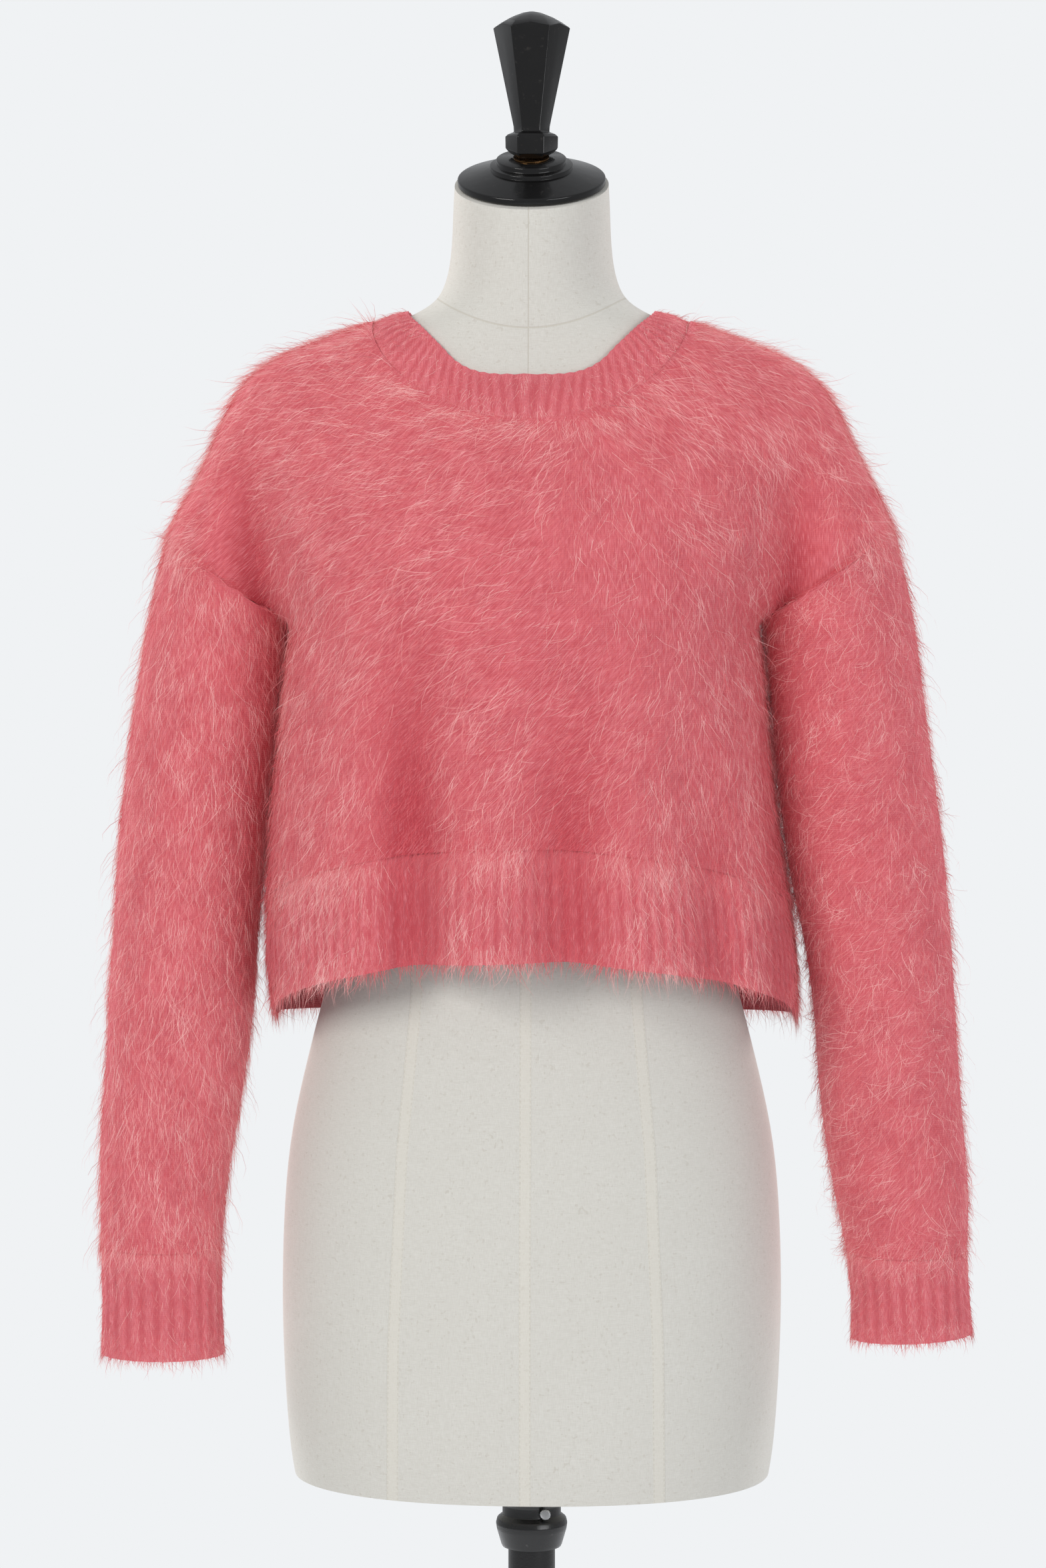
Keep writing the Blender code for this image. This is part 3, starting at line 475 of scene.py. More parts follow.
def cells(points, size):
    """One whole number for the small cube of space that each point lies in."""
    steps = np.floor(points / size).astype(np.int64) + 2048
    return (steps[:, 0] * 4096 + steps[:, 1]) * 4096 + steps[:, 2]


def near(points, others, size):
    """True where a point's cube, or one of the 26 around it, holds one of the others."""
    taken = np.unique(cells(others, size))
    shifts = (np.array(shift) - 1 for shift in np.ndindex(3, 3, 3))
    return np.any([np.isin(cells(points + shift * size, size), taken) for shift in shifts], axis=0)


def other_points(node):
    """The points of every piece of cloth but this one."""
    return np.concatenate([points_of(cloth[other].data) for other in cloth if other != node])


def rib_share(node, obj):
    """0 in a groove to 1 on a rib: out of the mean of the close neighbours, scaled and clipped.

    Ribs fade into the panel above them, so beside a seam they sink to one level.
    """
    mesh, points = obj.data, points_of(obj.data)
    a, b = read(mesh.edges, "vertices", np.int32, 2).T
    short = np.linalg.norm(points[a] - points[b], axis=1) < RIB_REACH
    a, b = a[short], b[short]
    mean, count = np.zeros_like(points), np.zeros(len(points))
    for one, two in ((a, b), (b, a)):
        np.add.at(mean, one, points[two])
        np.add.at(count, one, 1)
    out = outward(node, points)
    stands = np.where(count > 0, ((points - mean / np.maximum(count, 1)[:, None]) * out).sum(1), 0)
    share = np.clip(0.5 + stands / RIB_FULL, 0, 1)
    beside = [near(points, other_points(node), reach).astype(float) for reach in FADE_REACHES]
    fade = sum(beside) / len(beside)
    write_points(mesh, points - out * ((stands + RIB_SINK) * fade)[:, None])
    keep(mesh, "rib", share)
    return share


# %% Close the seams
SEAM_NEAR = 0.0020  # a rim point nearer than this to another piece lies on a seam
SEAM_OVERLAP = 0.0016


def close_seams():
    """Moves each rim that faces a neighbour along the cloth, so that the two pieces overlap.

    The way to go is the rim point's normal less its outward part.
    """
    moved = {}
    for node, obj in cloth.items():
        mesh, points = obj.data, points_of(obj.data)
        sharp = read(mesh.attributes["sharp_edge"].data, "value", bool)
        rim = np.zeros(len(points), bool)
        rim[read(mesh.edges, "vertices", np.int32, 2)[sharp].ravel()] = True
        rim &= near(points, other_points(node), SEAM_NEAR)
        out, normal = outward(node, points), normals_of(mesh)
        along = unit(normal - out * (normal * out).sum(1, keepdims=True))
        moved[node] = points + along * (SEAM_OVERLAP * rim)[:, None]
        print(node, "rim points moved", int(rim.sum()))
    for node, points in moved.items():
        write_points(cloth[node].data, points)


close_seams()

# %% Sink the ribs at the seams
RIBBED = (*HEM_BANDS, *CUFFS, "neckband")
rib_shares = {node: rib_share(node, cloth[node]) for node in RIBBED}
print("rib shares measured on", len(rib_shares), "bands")

# %% [markdown]
# ## Soft noise for the nap
#
# Brushed fibre lies in loose locks, and neighbouring fibres bend alike. A smooth noise gives
# that: random values on the corners of a lattice, blended inside each cell with an eased weight.


# %% Lattice noise
def lattice_noise(points, size, seed):
    """From -1 to 1: hashed values at a cell's eight corners, blended by 3t squared less 2t cubed."""
    scaled = points / size
    base = np.floor(scaled).astype(np.int64)
    share = scaled - base
    share = share * share * (3 - 2 * share)
    total = np.zeros(len(points))
    for corner in np.ndindex(2, 2, 2):
        cell = base + np.array(corner)
        code = (cell * np.array([73856093, 19349663, 83492791])).sum(1) + seed * 2654435761
        code = (code ^ (code >> 15)) * 2246822519 & 0xFFFFFFFF
        code = (code ^ (code >> 13)) * 3266489917 & 0xFFFFFFFF
        value = ((code >> 8) & 0xFFFF) / 32767.5 - 1
        weight = np.where(np.array(corner) == 1, share, 1 - share).prod(1)
        total += value * weight
    return total


# %% [markdown]
# ## Which way the nap is brushed
#
# On the real jumper the fibre fans out from the neck: it lies outwards over both shoulders,
# slants down to the left over most of the chest and hangs straight down near the hem. The left
# sleeve is combed downwards and the right sleeve is ruffled. A short table holds directions
# seen at a few spots of the front, and every other spot takes a weighted mean of them.

# %% Combing directions
# Columns: x and z of the spot, how the nap runs there in x and in z, and how ruffled it is.
COMB_TABLE = (
    (-0.138, 1.410, -1.00, -0.25, 0.25),
    (-0.205, 1.372, -0.85, -0.50, 0.25),
    (-0.110, 1.335, -0.95, -0.30, 0.30),
    (-0.160, 1.280, -0.75, -0.62, 0.25),
    (-0.012, 1.325, -0.65, -0.35, 0.45),
    (-0.128, 1.210, -0.55, -0.80, 0.25),
    (-0.022, 1.210, -0.78, -0.62, 0.35),
    (0.071, 1.390, 0.75, -0.60, 0.30),
    (0.140, 1.390, 0.80, -0.60, 0.30),
    (0.165, 1.300, 0.25, -0.95, 0.70),
    (0.118, 1.255, -0.30, -0.90, 0.70),
    (0.060, 1.290, 0.10, -0.80, 0.60),
    (0.048, 1.130, -0.60, -0.80, 0.35),
    (-0.092, 1.090, -0.38, -0.92, 0.25),
    (-0.170, 1.090, -0.25, -0.97, 0.20),
    (0.140, 1.090, -0.10, -1.00, 0.35),
    (-0.092, 0.990, -0.10, -1.00, 0.20),
    (0.048, 0.990, -0.18, -1.00, 0.22),
    (0.150, 0.985, 0.08, -1.00, 0.25),
)
COMB_REACH = 0.055
SLEEVE_COMB = {"left": (-0.02, -1.0, 0.22), "right": (-0.45, -0.85, 0.95)}
SLEEVE_WAVE, SLEEVE_WAVE_SIZE = 0.22, 0.09  # the left sleeve's nap sways by this much
CUFF_CALM, HEM_CALM = (0.2, 1, 1), (0.4, 1, 1)  # ribs hold the nap nearer to upright
CUFF_RUFFLE, HEM_RUFFLE = 0.35, 0.8  # share of the ruffle that is left on a band
NECK_DROP, NECK_RUFFLE = 0.05, 0.35  # the neckband's nap points out and a little down


def comb_sleeve(node, side, points):
    """One direction for the whole sleeve, which sways on the left one and is calm on a cuff."""
    x, z, ruffle = SLEEVE_COMB[side]
    if side == "left":
        x = x + SLEEVE_WAVE * lattice_noise(points, SLEEVE_WAVE_SIZE, 5)
    count = len(points)
    toward = np.stack([np.full(count, 1.0) * x, np.zeros(count), np.full(count, z)], axis=1)
    ruffle = np.full(count, ruffle)
    if node.startswith("cuff"):
        toward, ruffle = toward * CUFF_CALM, ruffle * CUFF_RUFFLE
    return toward, ruffle


def comb_body(node, points):
    """Table rows weighted by exp of minus the squared distance over the squared reach."""
    table = np.array(COMB_TABLE)
    away = ((points[:, None, (0, 2)] - table[None, :, :2]) ** 2).sum(2)
    weight = np.exp(-away / COMB_REACH**2) + 1e-9
    weight = weight / weight.sum(1, keepdims=True)
    mean = weight @ table[:, 2:]
    toward = np.stack([mean[:, 0], np.zeros(len(points)), mean[:, 1]], axis=1)
    ruffle = mean[:, 2]
    if "hem" in node:
        toward, ruffle = toward * HEM_CALM, ruffle * HEM_RUFFLE
    return toward, ruffle


def comb(node, points, normals):
    """Direction along the cloth, less its part along the normal, and ruffle at each point."""
    side = node.split("_")[-1]
    if side in SLEEVE_COMB:
        toward, ruffle = comb_sleeve(node, side, points)
    elif node == "neckband":
        toward = points * (1, 1, 0) - (0, 0, NECK_DROP)
        ruffle = np.full(len(points), NECK_RUFFLE)
    else:
        toward, ruffle = comb_body(node, points)
    flat = toward - normals * (toward * normals).sum(1, keepdims=True)
    return unit(flat), ruffle


# %% [markdown]
# ## The knit's colour and its painted shade
#
# Under the nap lies a fine plain knit of deep rose, with a few strands dyed warmer and a few
# cooler, which from a step away reads as a mottled pink. Columns of small leaning stitches run
# up the cloth. They are drawn as waves on the chart and feed both the colour and a bump.
#
# Most of the brushed fibre is too fine to model one by one. It is drawn on the knit as streaks:
# a noise stretched along the combing direction. Three stretched noises, straight down and
# leaning to either side, are blended by how far the nap leans at each point.

# %% The knit's material
ROSE_DEEP = rgb(190, 58, 70)
ROSE = rgb(210, 80, 90)
ROSE_SHADE = rgb(172, 40, 54)
ROSE_WARM = rgb(228, 98, 90)
ROSE_PALE = rgb(238, 144, 152)
STITCH_WIDE, STITCH_TALL = 0.0019, 0.0014
STITCH_SLANT = 2.4
STREAK_WIDE, STREAK_LONG = 0.00055, 0.0080
STREAK_LEAN = 0.80  # radians from straight down
# Fold hollows are coloured deeper as painted shade, full at this depth.
HOLLOW_FULL = 0.0070  # depth at which a fold takes its deepest colour
BAND_PALE = 0.20


def hollow_share(node, points):
    """How deep in a fold the points lie, from 0 to 1, on the front's pieces."""
    in_front = node in ("front", "hem_rib_front")
    return np.clip(fold_share(points) / HOLLOW_FULL, 0, 1) * float(in_front)


def mark_lean(node, obj):
    """Keeps how far the nap leans, from -1 towards minus X to 1 towards plus X, and the hollows."""
    points = points_of(obj.data)
    along, _ = comb(node, points, normals_of(obj.data))
    keep(obj.data, "lean", along[:, 0])
    keep(obj.data, "hollow", hollow_share(node, points))


def streak(knit, across, up):
    """Noise stretched along a direction: beside it divided by a width, along it by a length."""
    layers = []
    for angle in (0.0, -STREAK_LEAN, STREAK_LEAN):
        beside = (across * math.cos(angle) + up * math.sin(angle)) / STREAK_WIDE
        along = (across * math.sin(angle) - up * math.cos(angle)) / STREAK_LONG
        spot = knit.node("CombineXYZ", None, {0: beside, 1: along, 2: angle})
        layers.append(knit.noise(spot, 1.0, 2.0))
    lean = knit.node("Attribute", {"attribute_name": "lean"}, None, 2)
    down, left, right = layers
    leftward, rightward = knit.ramp(lean, -0.15, -0.60), knit.ramp(lean, 0.15, 0.60)
    return down + (left - down) * leftward + (right - down) * rightward


def stitches(across, up):
    """0.3 to 1: a ridge for each column, plus a wave up it that slants with the ridge."""
    ridge = (across * (2 * math.pi / STITCH_WIDE)).wave().size()
    row = (up * (2 * math.pi / STITCH_TALL) + ridge * STITCH_SLANT).wave()
    return (ridge * 0.6 + row * 0.4) * 0.5 + 0.5


def knit_finish(name, ribbed):
    """Rose mottled by noise, paler on stitches and streaks, with painted shade in fold hollows and rib
    grooves.
    """
    knit = Finish(name, Roughness=0.9, Sheen_Weight=0.9, Sheen_Roughness=0.35, Sheen_Tint=ROSE_PALE)
    across, up, _ = knit.axes(knit.chart())
    place = knit.place()
    height = stitches(across, up)
    fibre = streak(knit, across, up)
    speck = knit.ramp(knit.noise(place, 900.0, 1.0), 0.56, 0.72)
    cloud = knit.ramp(knit.noise(place, 34.0, 3.0), 0.35, 0.68)
    hollow = knit.node("Attribute", {"attribute_name": "hollow"}, None, 2)
    layers = [
        (speck * 0.6, ROSE_WARM),
        (height * 0.45, ROSE_PALE),
        # painted shade: the hollows of the folds are drawn deeper rose
        (hollow * 0.8, ROSE_SHADE),
        (knit.ramp(fibre, 0.50, 0.36) * 0.5, ROSE_DEEP),
        (knit.ramp(fibre, 0.52, 0.70) * 0.6, ROSE_PALE),
    ]
    if ribbed:
        rib = knit.node("Attribute", {"attribute_name": "rib"}, None, 2)
        # a paler tone for the bands, then painted shade that deepens the grooves between the ribs
        layers += [(BAND_PALE, ROSE_PALE), (knit.ramp(rib, 0.70, 0.25) * 0.45, ROSE_DEEP)]
    colour = knit.over(knit.mix(cloud, ROSE, ROSE_DEEP), *layers)
    relief = height * 0.6 + fibre * 0.9
    return knit.wear(Base_Color=colour, Normal=knit.bump(relief, 0.0006, 0.7))


knit_material = knit_finish("mohair_knit_skin", False)
rib_material = knit_finish("mohair_rib_skin", True)
for node, obj in cloth.items():
    mark_lean(node, obj)
    obj.data.materials.append(rib_material if node in RIBBED else knit_material)
    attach(obj, "root")
    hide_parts(node)

# %% [markdown]
# ## Growing the nap
#
# Mohair is brushed until its long fibres lie over the knit. Here each fibre is a ribbon of two
# or three flat pieces that tapers to a point: it leaves the cloth at a slant, bends over along
# the combing direction and drifts towards its lock. All roots are drawn at once, spread over
# the outer skin in proportion to area. Ribbons are turned about their own length by a random
# angle, or a silhouette would see them edge on and lose its halo.

# %% Where pieces meet
SEAM_REACH = 0.004
UNDERSIDE = -0.6  # a normal that points down by more than this lies under a rim


def edge_shares():
    """For each piece, 1 at the points beside a neighbour and 1 at those beside a free lower rim."""
    shells = {node: (points_of(obj.data), normals_of(obj.data)) for node, obj in cloth.items()}
    seams, rims = {}, {}
    for node, (points, normals) in shells.items():
        others = np.concatenate([p for other, (p, _) in shells.items() if other != node])
        seams[node] = near(points, others, SEAM_REACH).astype(float)
        under = points[normals[:, 2] < UNDERSIDE]
        free = node.startswith(("hem", "cuff")) and len(under) > 0
        rims[node] = near(points, under, SEAM_REACH).astype(float) if free else seams[node] * 0
    return seams, rims


seam_shares, rim_shares = edge_shares()
print("points beside a seam:", {node: int(share.sum()) for node, share in seam_shares.items()})

# %% Growing the nap
GUARD_STEPS = np.array([0.0, 0.30, 0.65, 1.0])
UNDER_STEPS = np.array([0.0, 0.5, 1.0])
LOCK_SIZE, LOCK_SEED = 0.0075, 77
LOCK_STEP, LOCK_PULL = 0.0015, 7e-6  # half the step of the slope, and how far it moves a tip
CURL, CURL_SIZE = 1.1, 0.011  # radians a fibre turns with its near neighbours
SWIRL, SWIRL_SIZE = 0.9, 0.035  # and with a wider patch
OWN_TURN, RUFFLED_TURN = 0.16, 0.25  # radians it turns by itself, and more where it is ruffled
OWN_BEND, RUFFLED_BEND = 0.30, 0.35  # how far its tip bends sideways, as a share of its length
SHORTEST, LONGER = 0.55, 0.9
ARCH, FALL_BACK = 1.6, 0.62  # a fibre climbs by the first and comes back down by the second
ROOT_SINK = 0.0004
SEAM_RUFFLE = 0.35
SEAM_THICK, RIM_THICK = 1.3, 1.5  # how much more nap a seam and a free rim hold
RIB_ROOTS = (0.25, 1.5)  # nap in a groove, and how much more a rib's top holds
CHEST_THIN, CHEST_THIN_SIZE = np.array([0.035, 0.0, 1.235]), np.array([0.105, 1.0, 0.095])
CHEST_WORN = 0.80
HOLLOW_THIN = 0.45
TWIST = 0.55
TIP_WIDTH = 0.15
FLYAWAYS, FLYAWAY_RISE = 0.09, 0.6
SHINE_TILT = 1.1
FACING = 0.42  # nap roots only where the skin looks outwards, not on a rim


def pelt(points):
    """Share of the nap that is left: worn thin on the chest's middle, whole at sides and hem."""
    x, _, z = ((points - CHEST_THIN) / CHEST_THIN_SIZE).T
    return 1 - CHEST_WORN * np.exp(-(x**2) - z**2)


def root_weights(node, points, faces):
    """Each triangle's area, times how much nap its place holds. Rims and inner skin hold none."""
    a, b, c = (points[faces[:, i]] for i in range(3))
    cross = np.cross(b - a, c - a)
    area = np.linalg.norm(cross, axis=1)
    facing = (unit(cross) * outward(node, (a + b + c) / 3)).sum(1) > FACING
    weight = area * facing
    if node in RIBBED:
        weight = weight * (RIB_ROOTS[0] + rib_shares[node][faces].mean(1) * RIB_ROOTS[1])
    if node == "front":
        weight = weight * pelt(a)
    weight = weight * (1 - HOLLOW_THIN * hollow_share(node, a))
    seam, rim = seam_shares[node][faces].mean(1), rim_shares[node][faces].mean(1)
    return weight * (1 + SEAM_THICK * seam + RIM_THICK * rim), seam


def spread_roots(node, count, seed):
    """Points and normals on the outer skin: one draw in each equal slice of the summed weight."""
    mesh = cloth[node].data
    points, faces = points_of(mesh), triangles_of(mesh)
    normals = corner_normals_of(mesh)
    weight, seam = root_weights(node, points, faces)
    summed = np.cumsum(weight) / weight.sum()
    random = np.random.default_rng(seed)
    picked = np.searchsorted(summed, (np.arange(count) + random.random(count)) / count)
    picked = np.minimum(picked, len(faces) - 1)
    u, v = random.random(count), random.random(count)
    flip = u + v > 1
    u, v = np.where(flip, 1 - u, u)[:, None], np.where(flip, 1 - v, v)[:, None]
    chosen = faces[picked]
    root = points[chosen[:, 0]] * (1 - u - v) + points[chosen[:, 1]] * u + points[chosen[:, 2]] * v
    corner = normals[picked]
    normal = corner[:, 0] * (1 - u - v) + corner[:, 1] * u + corner[:, 2] * v
    return root, unit(normal), seam[picked]


# %% Bending the fibres
def lock_pull(root, axes):
    """Towards the lock's middle: the slope of the lock noise along each axis, by differences."""
    pull = np.zeros_like(root)
    for axis in axes:
        ahead = lattice_noise(root + axis * LOCK_STEP, LOCK_SIZE, LOCK_SEED)
        behind = lattice_noise(root - axis * LOCK_STEP, LOCK_SIZE, LOCK_SEED)
        pull += axis * ((ahead - behind) / (2 * LOCK_STEP))[:, None]
    return pull * LOCK_PULL


def fibre_lines(node, root, normal, seam, steps, length, lift, seed):
    """Centre lines: root + along + a rise that falls back + a sideways curl + a pull to the lock."""
    random = np.random.default_rng(seed)
    count = len(root)
    along, ruffle = comb(node, root, normal)
    ruffle = np.maximum(ruffle, seam * SEAM_RUFFLE)
    aside = np.cross(normal, along)
    wave = CURL * lattice_noise(root, CURL_SIZE, seed)
    wave += SWIRL * lattice_noise(root, SWIRL_SIZE, seed + 1)
    turn = ruffle * wave + random.normal(0, OWN_TURN, count)
    turn = turn + ruffle * random.normal(0, RUFFLED_TURN, count)
    ahead = along * np.cos(turn)[:, None] + aside * np.sin(turn)[:, None]
    beside = np.cross(normal, ahead)
    size = length * (SHORTEST + LONGER * random.random(count) ** 1.5)
    rise = lift * (0.5 + random.random(count)) + (random.random(count) < FLYAWAYS) * FLYAWAY_RISE
    bend = random.normal(0, OWN_BEND, count) + ruffle * random.normal(0, RUFFLED_BEND, count)
    s = steps[None, :, None]
    line = (
        root[:, None]
        - normal[:, None] * ROOT_SINK
        + ahead[:, None] * (size[:, None, None] * s)
        + normal[:, None] * (size * rise)[:, None, None] * (s - FALL_BACK * s**2) * ARCH
        + beside[:, None] * (size * bend)[:, None, None] * s**2
        + lock_pull(root, (ahead, beside))[:, None] * s**1.5
    )
    return line, lattice_noise(root, LOCK_SIZE, LOCK_SEED), random


# %% Making the ribbons
def ribbon_points(lines, normals, widths, steps, random):
    """Half a width to either side at each step, and one point at the tip, with the turned normal."""
    count = len(lines)
    ahead = unit(np.gradient(lines, axis=1))
    side = unit(np.cross(normals[:, None], ahead))
    over = np.cross(ahead, side)
    twist = random.normal(0, TWIST, count)[:, None, None]
    across = side * np.cos(twist) + over * np.sin(twist)
    taper = (1 - steps[None, :, None] ** 1.6) * (1 - TIP_WIDTH) + TIP_WIDTH
    half = across * widths[:, None, None] * taper / 2
    left, right = (lines - half)[:, :-1], (lines + half)[:, :-1]
    pairs = np.stack([left, right], axis=2).reshape(count, -1, 3)
    turned = unit(normals - side[:, 0] * np.sin(twist[:, 0]) * SHINE_TILT)
    return np.concatenate([pairs, lines[:, -1:]], axis=1), turned


def ribbon_corners(count, each, rows):
    """Corners of every ribbon's faces and each face's size: four sided pieces, then a pointed one."""
    base = (np.arange(count) * each)[:, None, None]
    quads = np.array([[2 * k + 1, 2 * k, 2 * k + 2, 2 * k + 3] for k in range(rows - 2)]).reshape(-1, 4)
    tip = np.array([[each - 2, each - 3, each - 1]])
    parts = [(base + part[None]).reshape(count, -1) for part in (quads, tip)]
    return np.concatenate(parts, axis=1).ravel(), np.tile(np.array([4] * len(quads) + [3]), count)


def ribbon_mesh(name, lines, normals, widths, shade, steps, random):
    """Ribbons along centre lines, with a chart of shade and step and the cloth's own normals."""
    count, rows = lines.shape[:2]
    points, normals = ribbon_points(lines, normals, widths, steps, random)
    each = points.shape[1]
    corners, sizes = ribbon_corners(count, each, rows)
    mesh = bpy.data.meshes.new(name)
    mesh.vertices.add(count * each)
    mesh.loops.add(corners.size)
    mesh.loops.foreach_set("vertex_index", corners.astype(np.int32))
    mesh.polygons.add(len(sizes))
    mesh.polygons.foreach_set("loop_start", (np.cumsum(sizes) - sizes).astype(np.int32))
    mesh.vertices.foreach_set("co", points.astype(np.float32).ravel())
    mesh.update(calc_edges=True)
    along = np.concatenate([np.repeat(steps[:-1], 2), steps[-1:]])
    chart = np.stack([np.repeat(shade[:, None], each, 1), np.repeat(along[None], count, 0)], axis=2)
    layer = mesh.uv_layers.new(name="OFBake")
    layer.data.foreach_set("uv", chart.reshape(-1, 2)[corners].astype(np.float32).ravel())
    mesh.shade_smooth()
    mesh.normals_split_custom_set_from_vertices(np.repeat(normals, each, axis=0))
    return linked(name, mesh)


# %% [markdown]
# ## The nap's colour
#
# A fibre is deep rose where it leaves the knit and nearly white pink at its tip, where light
# comes through it. Its chart holds two numbers: across is the fibre's own tone, deepened as
# painted shade in the fold hollows, and up is the distance from its root, so one material
# serves every fibre.

# %% The nap's material
FIBRE_ROOT = rgb(203, 73, 84)
FIBRE_MIDDLE = rgb(222, 96, 102)
FIBRE_TIP = rgb(255, 208, 203)


def nap_finish():
    """Root to tip from deep to pale, then lighter or deeper by the fibre's shade number, which holds
    its own tone and the painted shade of fold hollows.
    """
    sheen = {"Sheen_Weight": 0.9, "Sheen_Roughness": 0.35, "Sheen_Tint": FIBRE_TIP}
    nap = Finish("mohair_nap", Roughness=0.75, **sheen)
    shade, along, _ = nap.axes(nap.chart())
    colour = nap.over(
        FIBRE_ROOT,
        (nap.ramp(along, 0.0, 0.45), FIBRE_MIDDLE),
        (nap.ramp(along, 0.40, 1.0) * 0.75, FIBRE_TIP),
        (nap.ramp(shade, 0.50, 0.10) * 0.7, FIBRE_ROOT),
        (nap.ramp(shade, 0.55, 0.95) * 0.75, FIBRE_TIP),
    )
    return nap.wear(Base_Color=colour)


nap_material = nap_finish()

# %% [markdown]
# ## The nap, piece by piece
#
# The fibre count follows the photograph: a thick even pelt on the body and the left sleeve,
# thinner on the ruffled right sleeve, and short fuzz on the bands. Each piece of cloth has its
# own nap, so that no mesh grows too large.

# %% Grow the nap on every piece
# Columns: node, guard fibres and their length, under fibres and theirs, how far they lift, slot.
NAP_TABLE = (
    ("front", 21000, 0.0200, 30000, 0.0085, 0.24, "mohair_knit"),
    ("back", 17000, 0.0200, 22000, 0.0085, 0.24, "mohair_knit"),
    ("sleeve_left", 17500, 0.0200, 20000, 0.0085, 0.20, "mohair_knit"),
    ("sleeve_right", 12000, 0.0170, 22000, 0.0075, 0.30, "mohair_knit"),
    ("hem_rib_front", 8000, 0.0150, 8500, 0.0075, 0.24, "mohair_rib"),
    ("hem_rib_back", 7000, 0.0150, 7000, 0.0075, 0.24, "mohair_rib"),
    ("cuff_left", 2600, 0.0110, 4200, 0.0060, 0.22, "mohair_rib"),
    ("cuff_right", 2200, 0.0090, 4200, 0.0055, 0.25, "mohair_rib"),
    ("neckband", 2400, 0.0100, 5200, 0.0055, 0.25, "mohair_rib"),
)
GUARD_WIDTH, UNDER_WIDTH = 0.00024, 0.00030
THINNEST, THICKER = 0.7, 0.6
BAND_TONE = {"hem": 0.05, "cuff": -0.14, "neckband": 0.0}  # paler or deeper than the panels
# how much deeper a fibre in a fold's hollow is drawn: painted shade
HOLLOW_PAINTED_SHADE = 0.85
LOCK_TONE, OWN_TONE = 0.34, 0.26  # how far a lock and a single fibre differ in shade
GUARD_TONE, UNDER_TONE = 0.60, 0.34
UNDER_LIFT = 1.5


def grow_nap(row, seed):
    """Guard fibres over short under fibres, as two ribbon meshes for the piece."""
    node, guard, guard_length, under, under_length, lift, slot = row
    made = []
    for kind, count, length, steps, width, rise, tone in (
        ("guard", guard, guard_length, GUARD_STEPS, GUARD_WIDTH, lift, GUARD_TONE),
        ("under", under, under_length, UNDER_STEPS, UNDER_WIDTH, lift * UNDER_LIFT, UNDER_TONE),
    ):
        seed += 1000
        root, normal, seam = spread_roots(node, count, seed)
        line, lock, random = fibre_lines(node, root, normal, seam, steps, length, rise, seed + 7)
        # fibres in the fold hollows are drawn deeper as painted shade
        tone = tone + BAND_TONE.get(node.split("_")[0], 0.0) - HOLLOW_PAINTED_SHADE * hollow_share(node, root)
        shade = np.clip(tone + LOCK_TONE * lock + random.normal(0, OWN_TONE, count), 0.02, 0.98)
        widths = width * (THINNEST + THICKER * random.random(count))
        made.append(ribbon_mesh("nap_" + node + "_" + kind, line, normal, widths, shade, steps, random))
    return made


naps = []
for index, row in enumerate(NAP_TABLE):
    for obj in grow_nap(row, 11 * (index + 1)):
        obj.data.materials.append(nap_material)
        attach(obj, "root")
        obj.visible_shadow = obj.visible_diffuse = False
        naps.append(obj)
total = sum(len(o.data.loops) - 2 * len(o.data.polygons) for o in naps)
print("nap pieces", len(naps), "triangles", total)

# %% [markdown]
# ## Flat sizes of the cloth
#
# Each shell is a sheet that was cut or knitted to a flat size before it was worn. A panel is as
# wide as the body and both shoulder extensions together, and a sleeve or band opens out flat.
# Each flat size is printed beside half of the shell's measured skin.

FLAT_SIZES = {
    "front": (0.560, 0.420),
    "back": (0.560, 0.450),
    "sleeve_left": (0.310, 0.480),
    "sleeve_right": (0.310, 0.480),
    "hem_rib_front": (0.500, 0.077),
    "hem_rib_back": (0.470, 0.077),
    "cuff_left": (0.225, 0.076),
    "cuff_right": (0.225, 0.062),
    "neckband": (0.560, 0.030),
}
for node, (wide, tall) in FLAT_SIZES.items():
    single = area_of(cloth[node]) / 2
    print(node, "flat", wide, tall, "measured single layer", round(single, 4))

# %% [markdown]
# ## The linen form
#
# The form is a stiff shell under tight linen, cut in panels with narrow tapes over the seams.
# Its solid is already the right shape in coarse facets, so it takes the same smoothing as the
# cloth. The weave, the tapes and their stitches are drawn by height and distance from the
# middle, because they lie flat on the surface.

# %% The linen cover
FORM_LEVELS = 2
LINEN = rgb(217, 215, 208)
LINEN_DARK = rgb(206, 203, 195)
LINEN_TAPE = rgb(226, 220, 206)
THREAD = rgb(196, 190, 176)
FLECK = rgb(150, 134, 110)
WARP, WEFT = (2600, 2600, 220), (220, 220, 2600)  # threads a metre on each axis
TAPE_HALF = 0.0043
TAPE_DASH = 0.0036  # length of one stitch and its gap
NECK_FOOT_Z = 1.385  # tapes end below this height and the neck's own seam starts
NECK_BASE_Z, NECK_BASE_CURVE = 1.4205, 5.0  # the seam round the neck's foot: height in front, rise
# Height and distance from the middle of the side front tapes.
TAPE_LINE = ((0.60, 0.0905), (0.73, 0.0895), (0.86, 0.0840), (0.968, 0.0745), (1.20, 0.0780))


def tape_offset(linen, across, up, sign):
    """Distance from one side tape: a colour ramp holds the tape's line, and the height reads it.

    The ramp's stops hold five times the line's distance from the middle, to use its range well.
    """
    low, high = TAPE_LINE[0][0], TAPE_LINE[-1][0]
    stops = [((z - low) / (high - low), (x * 5, x * 5, x * 5, 1.0)) for z, x in TAPE_LINE]
    line = linen.node("ValToRGB", {"stops": stops}, {0: linen.ramp(up, low, high)})
    return (across - linen.axes(line)[0] * (0.2 * sign)).size()


def weave_of(linen, place):
    """Threads that cross: the mean of one noise stretched upwards and one stretched sideways."""
    warp, weft = (linen.node("Mapping", None, {0: place, 3: size}) for size in (WARP, WEFT))
    return linen.noise(warp, 1.0, 1.0) * 0.5 + linen.noise(weft, 1.0, 1.0) * 0.5


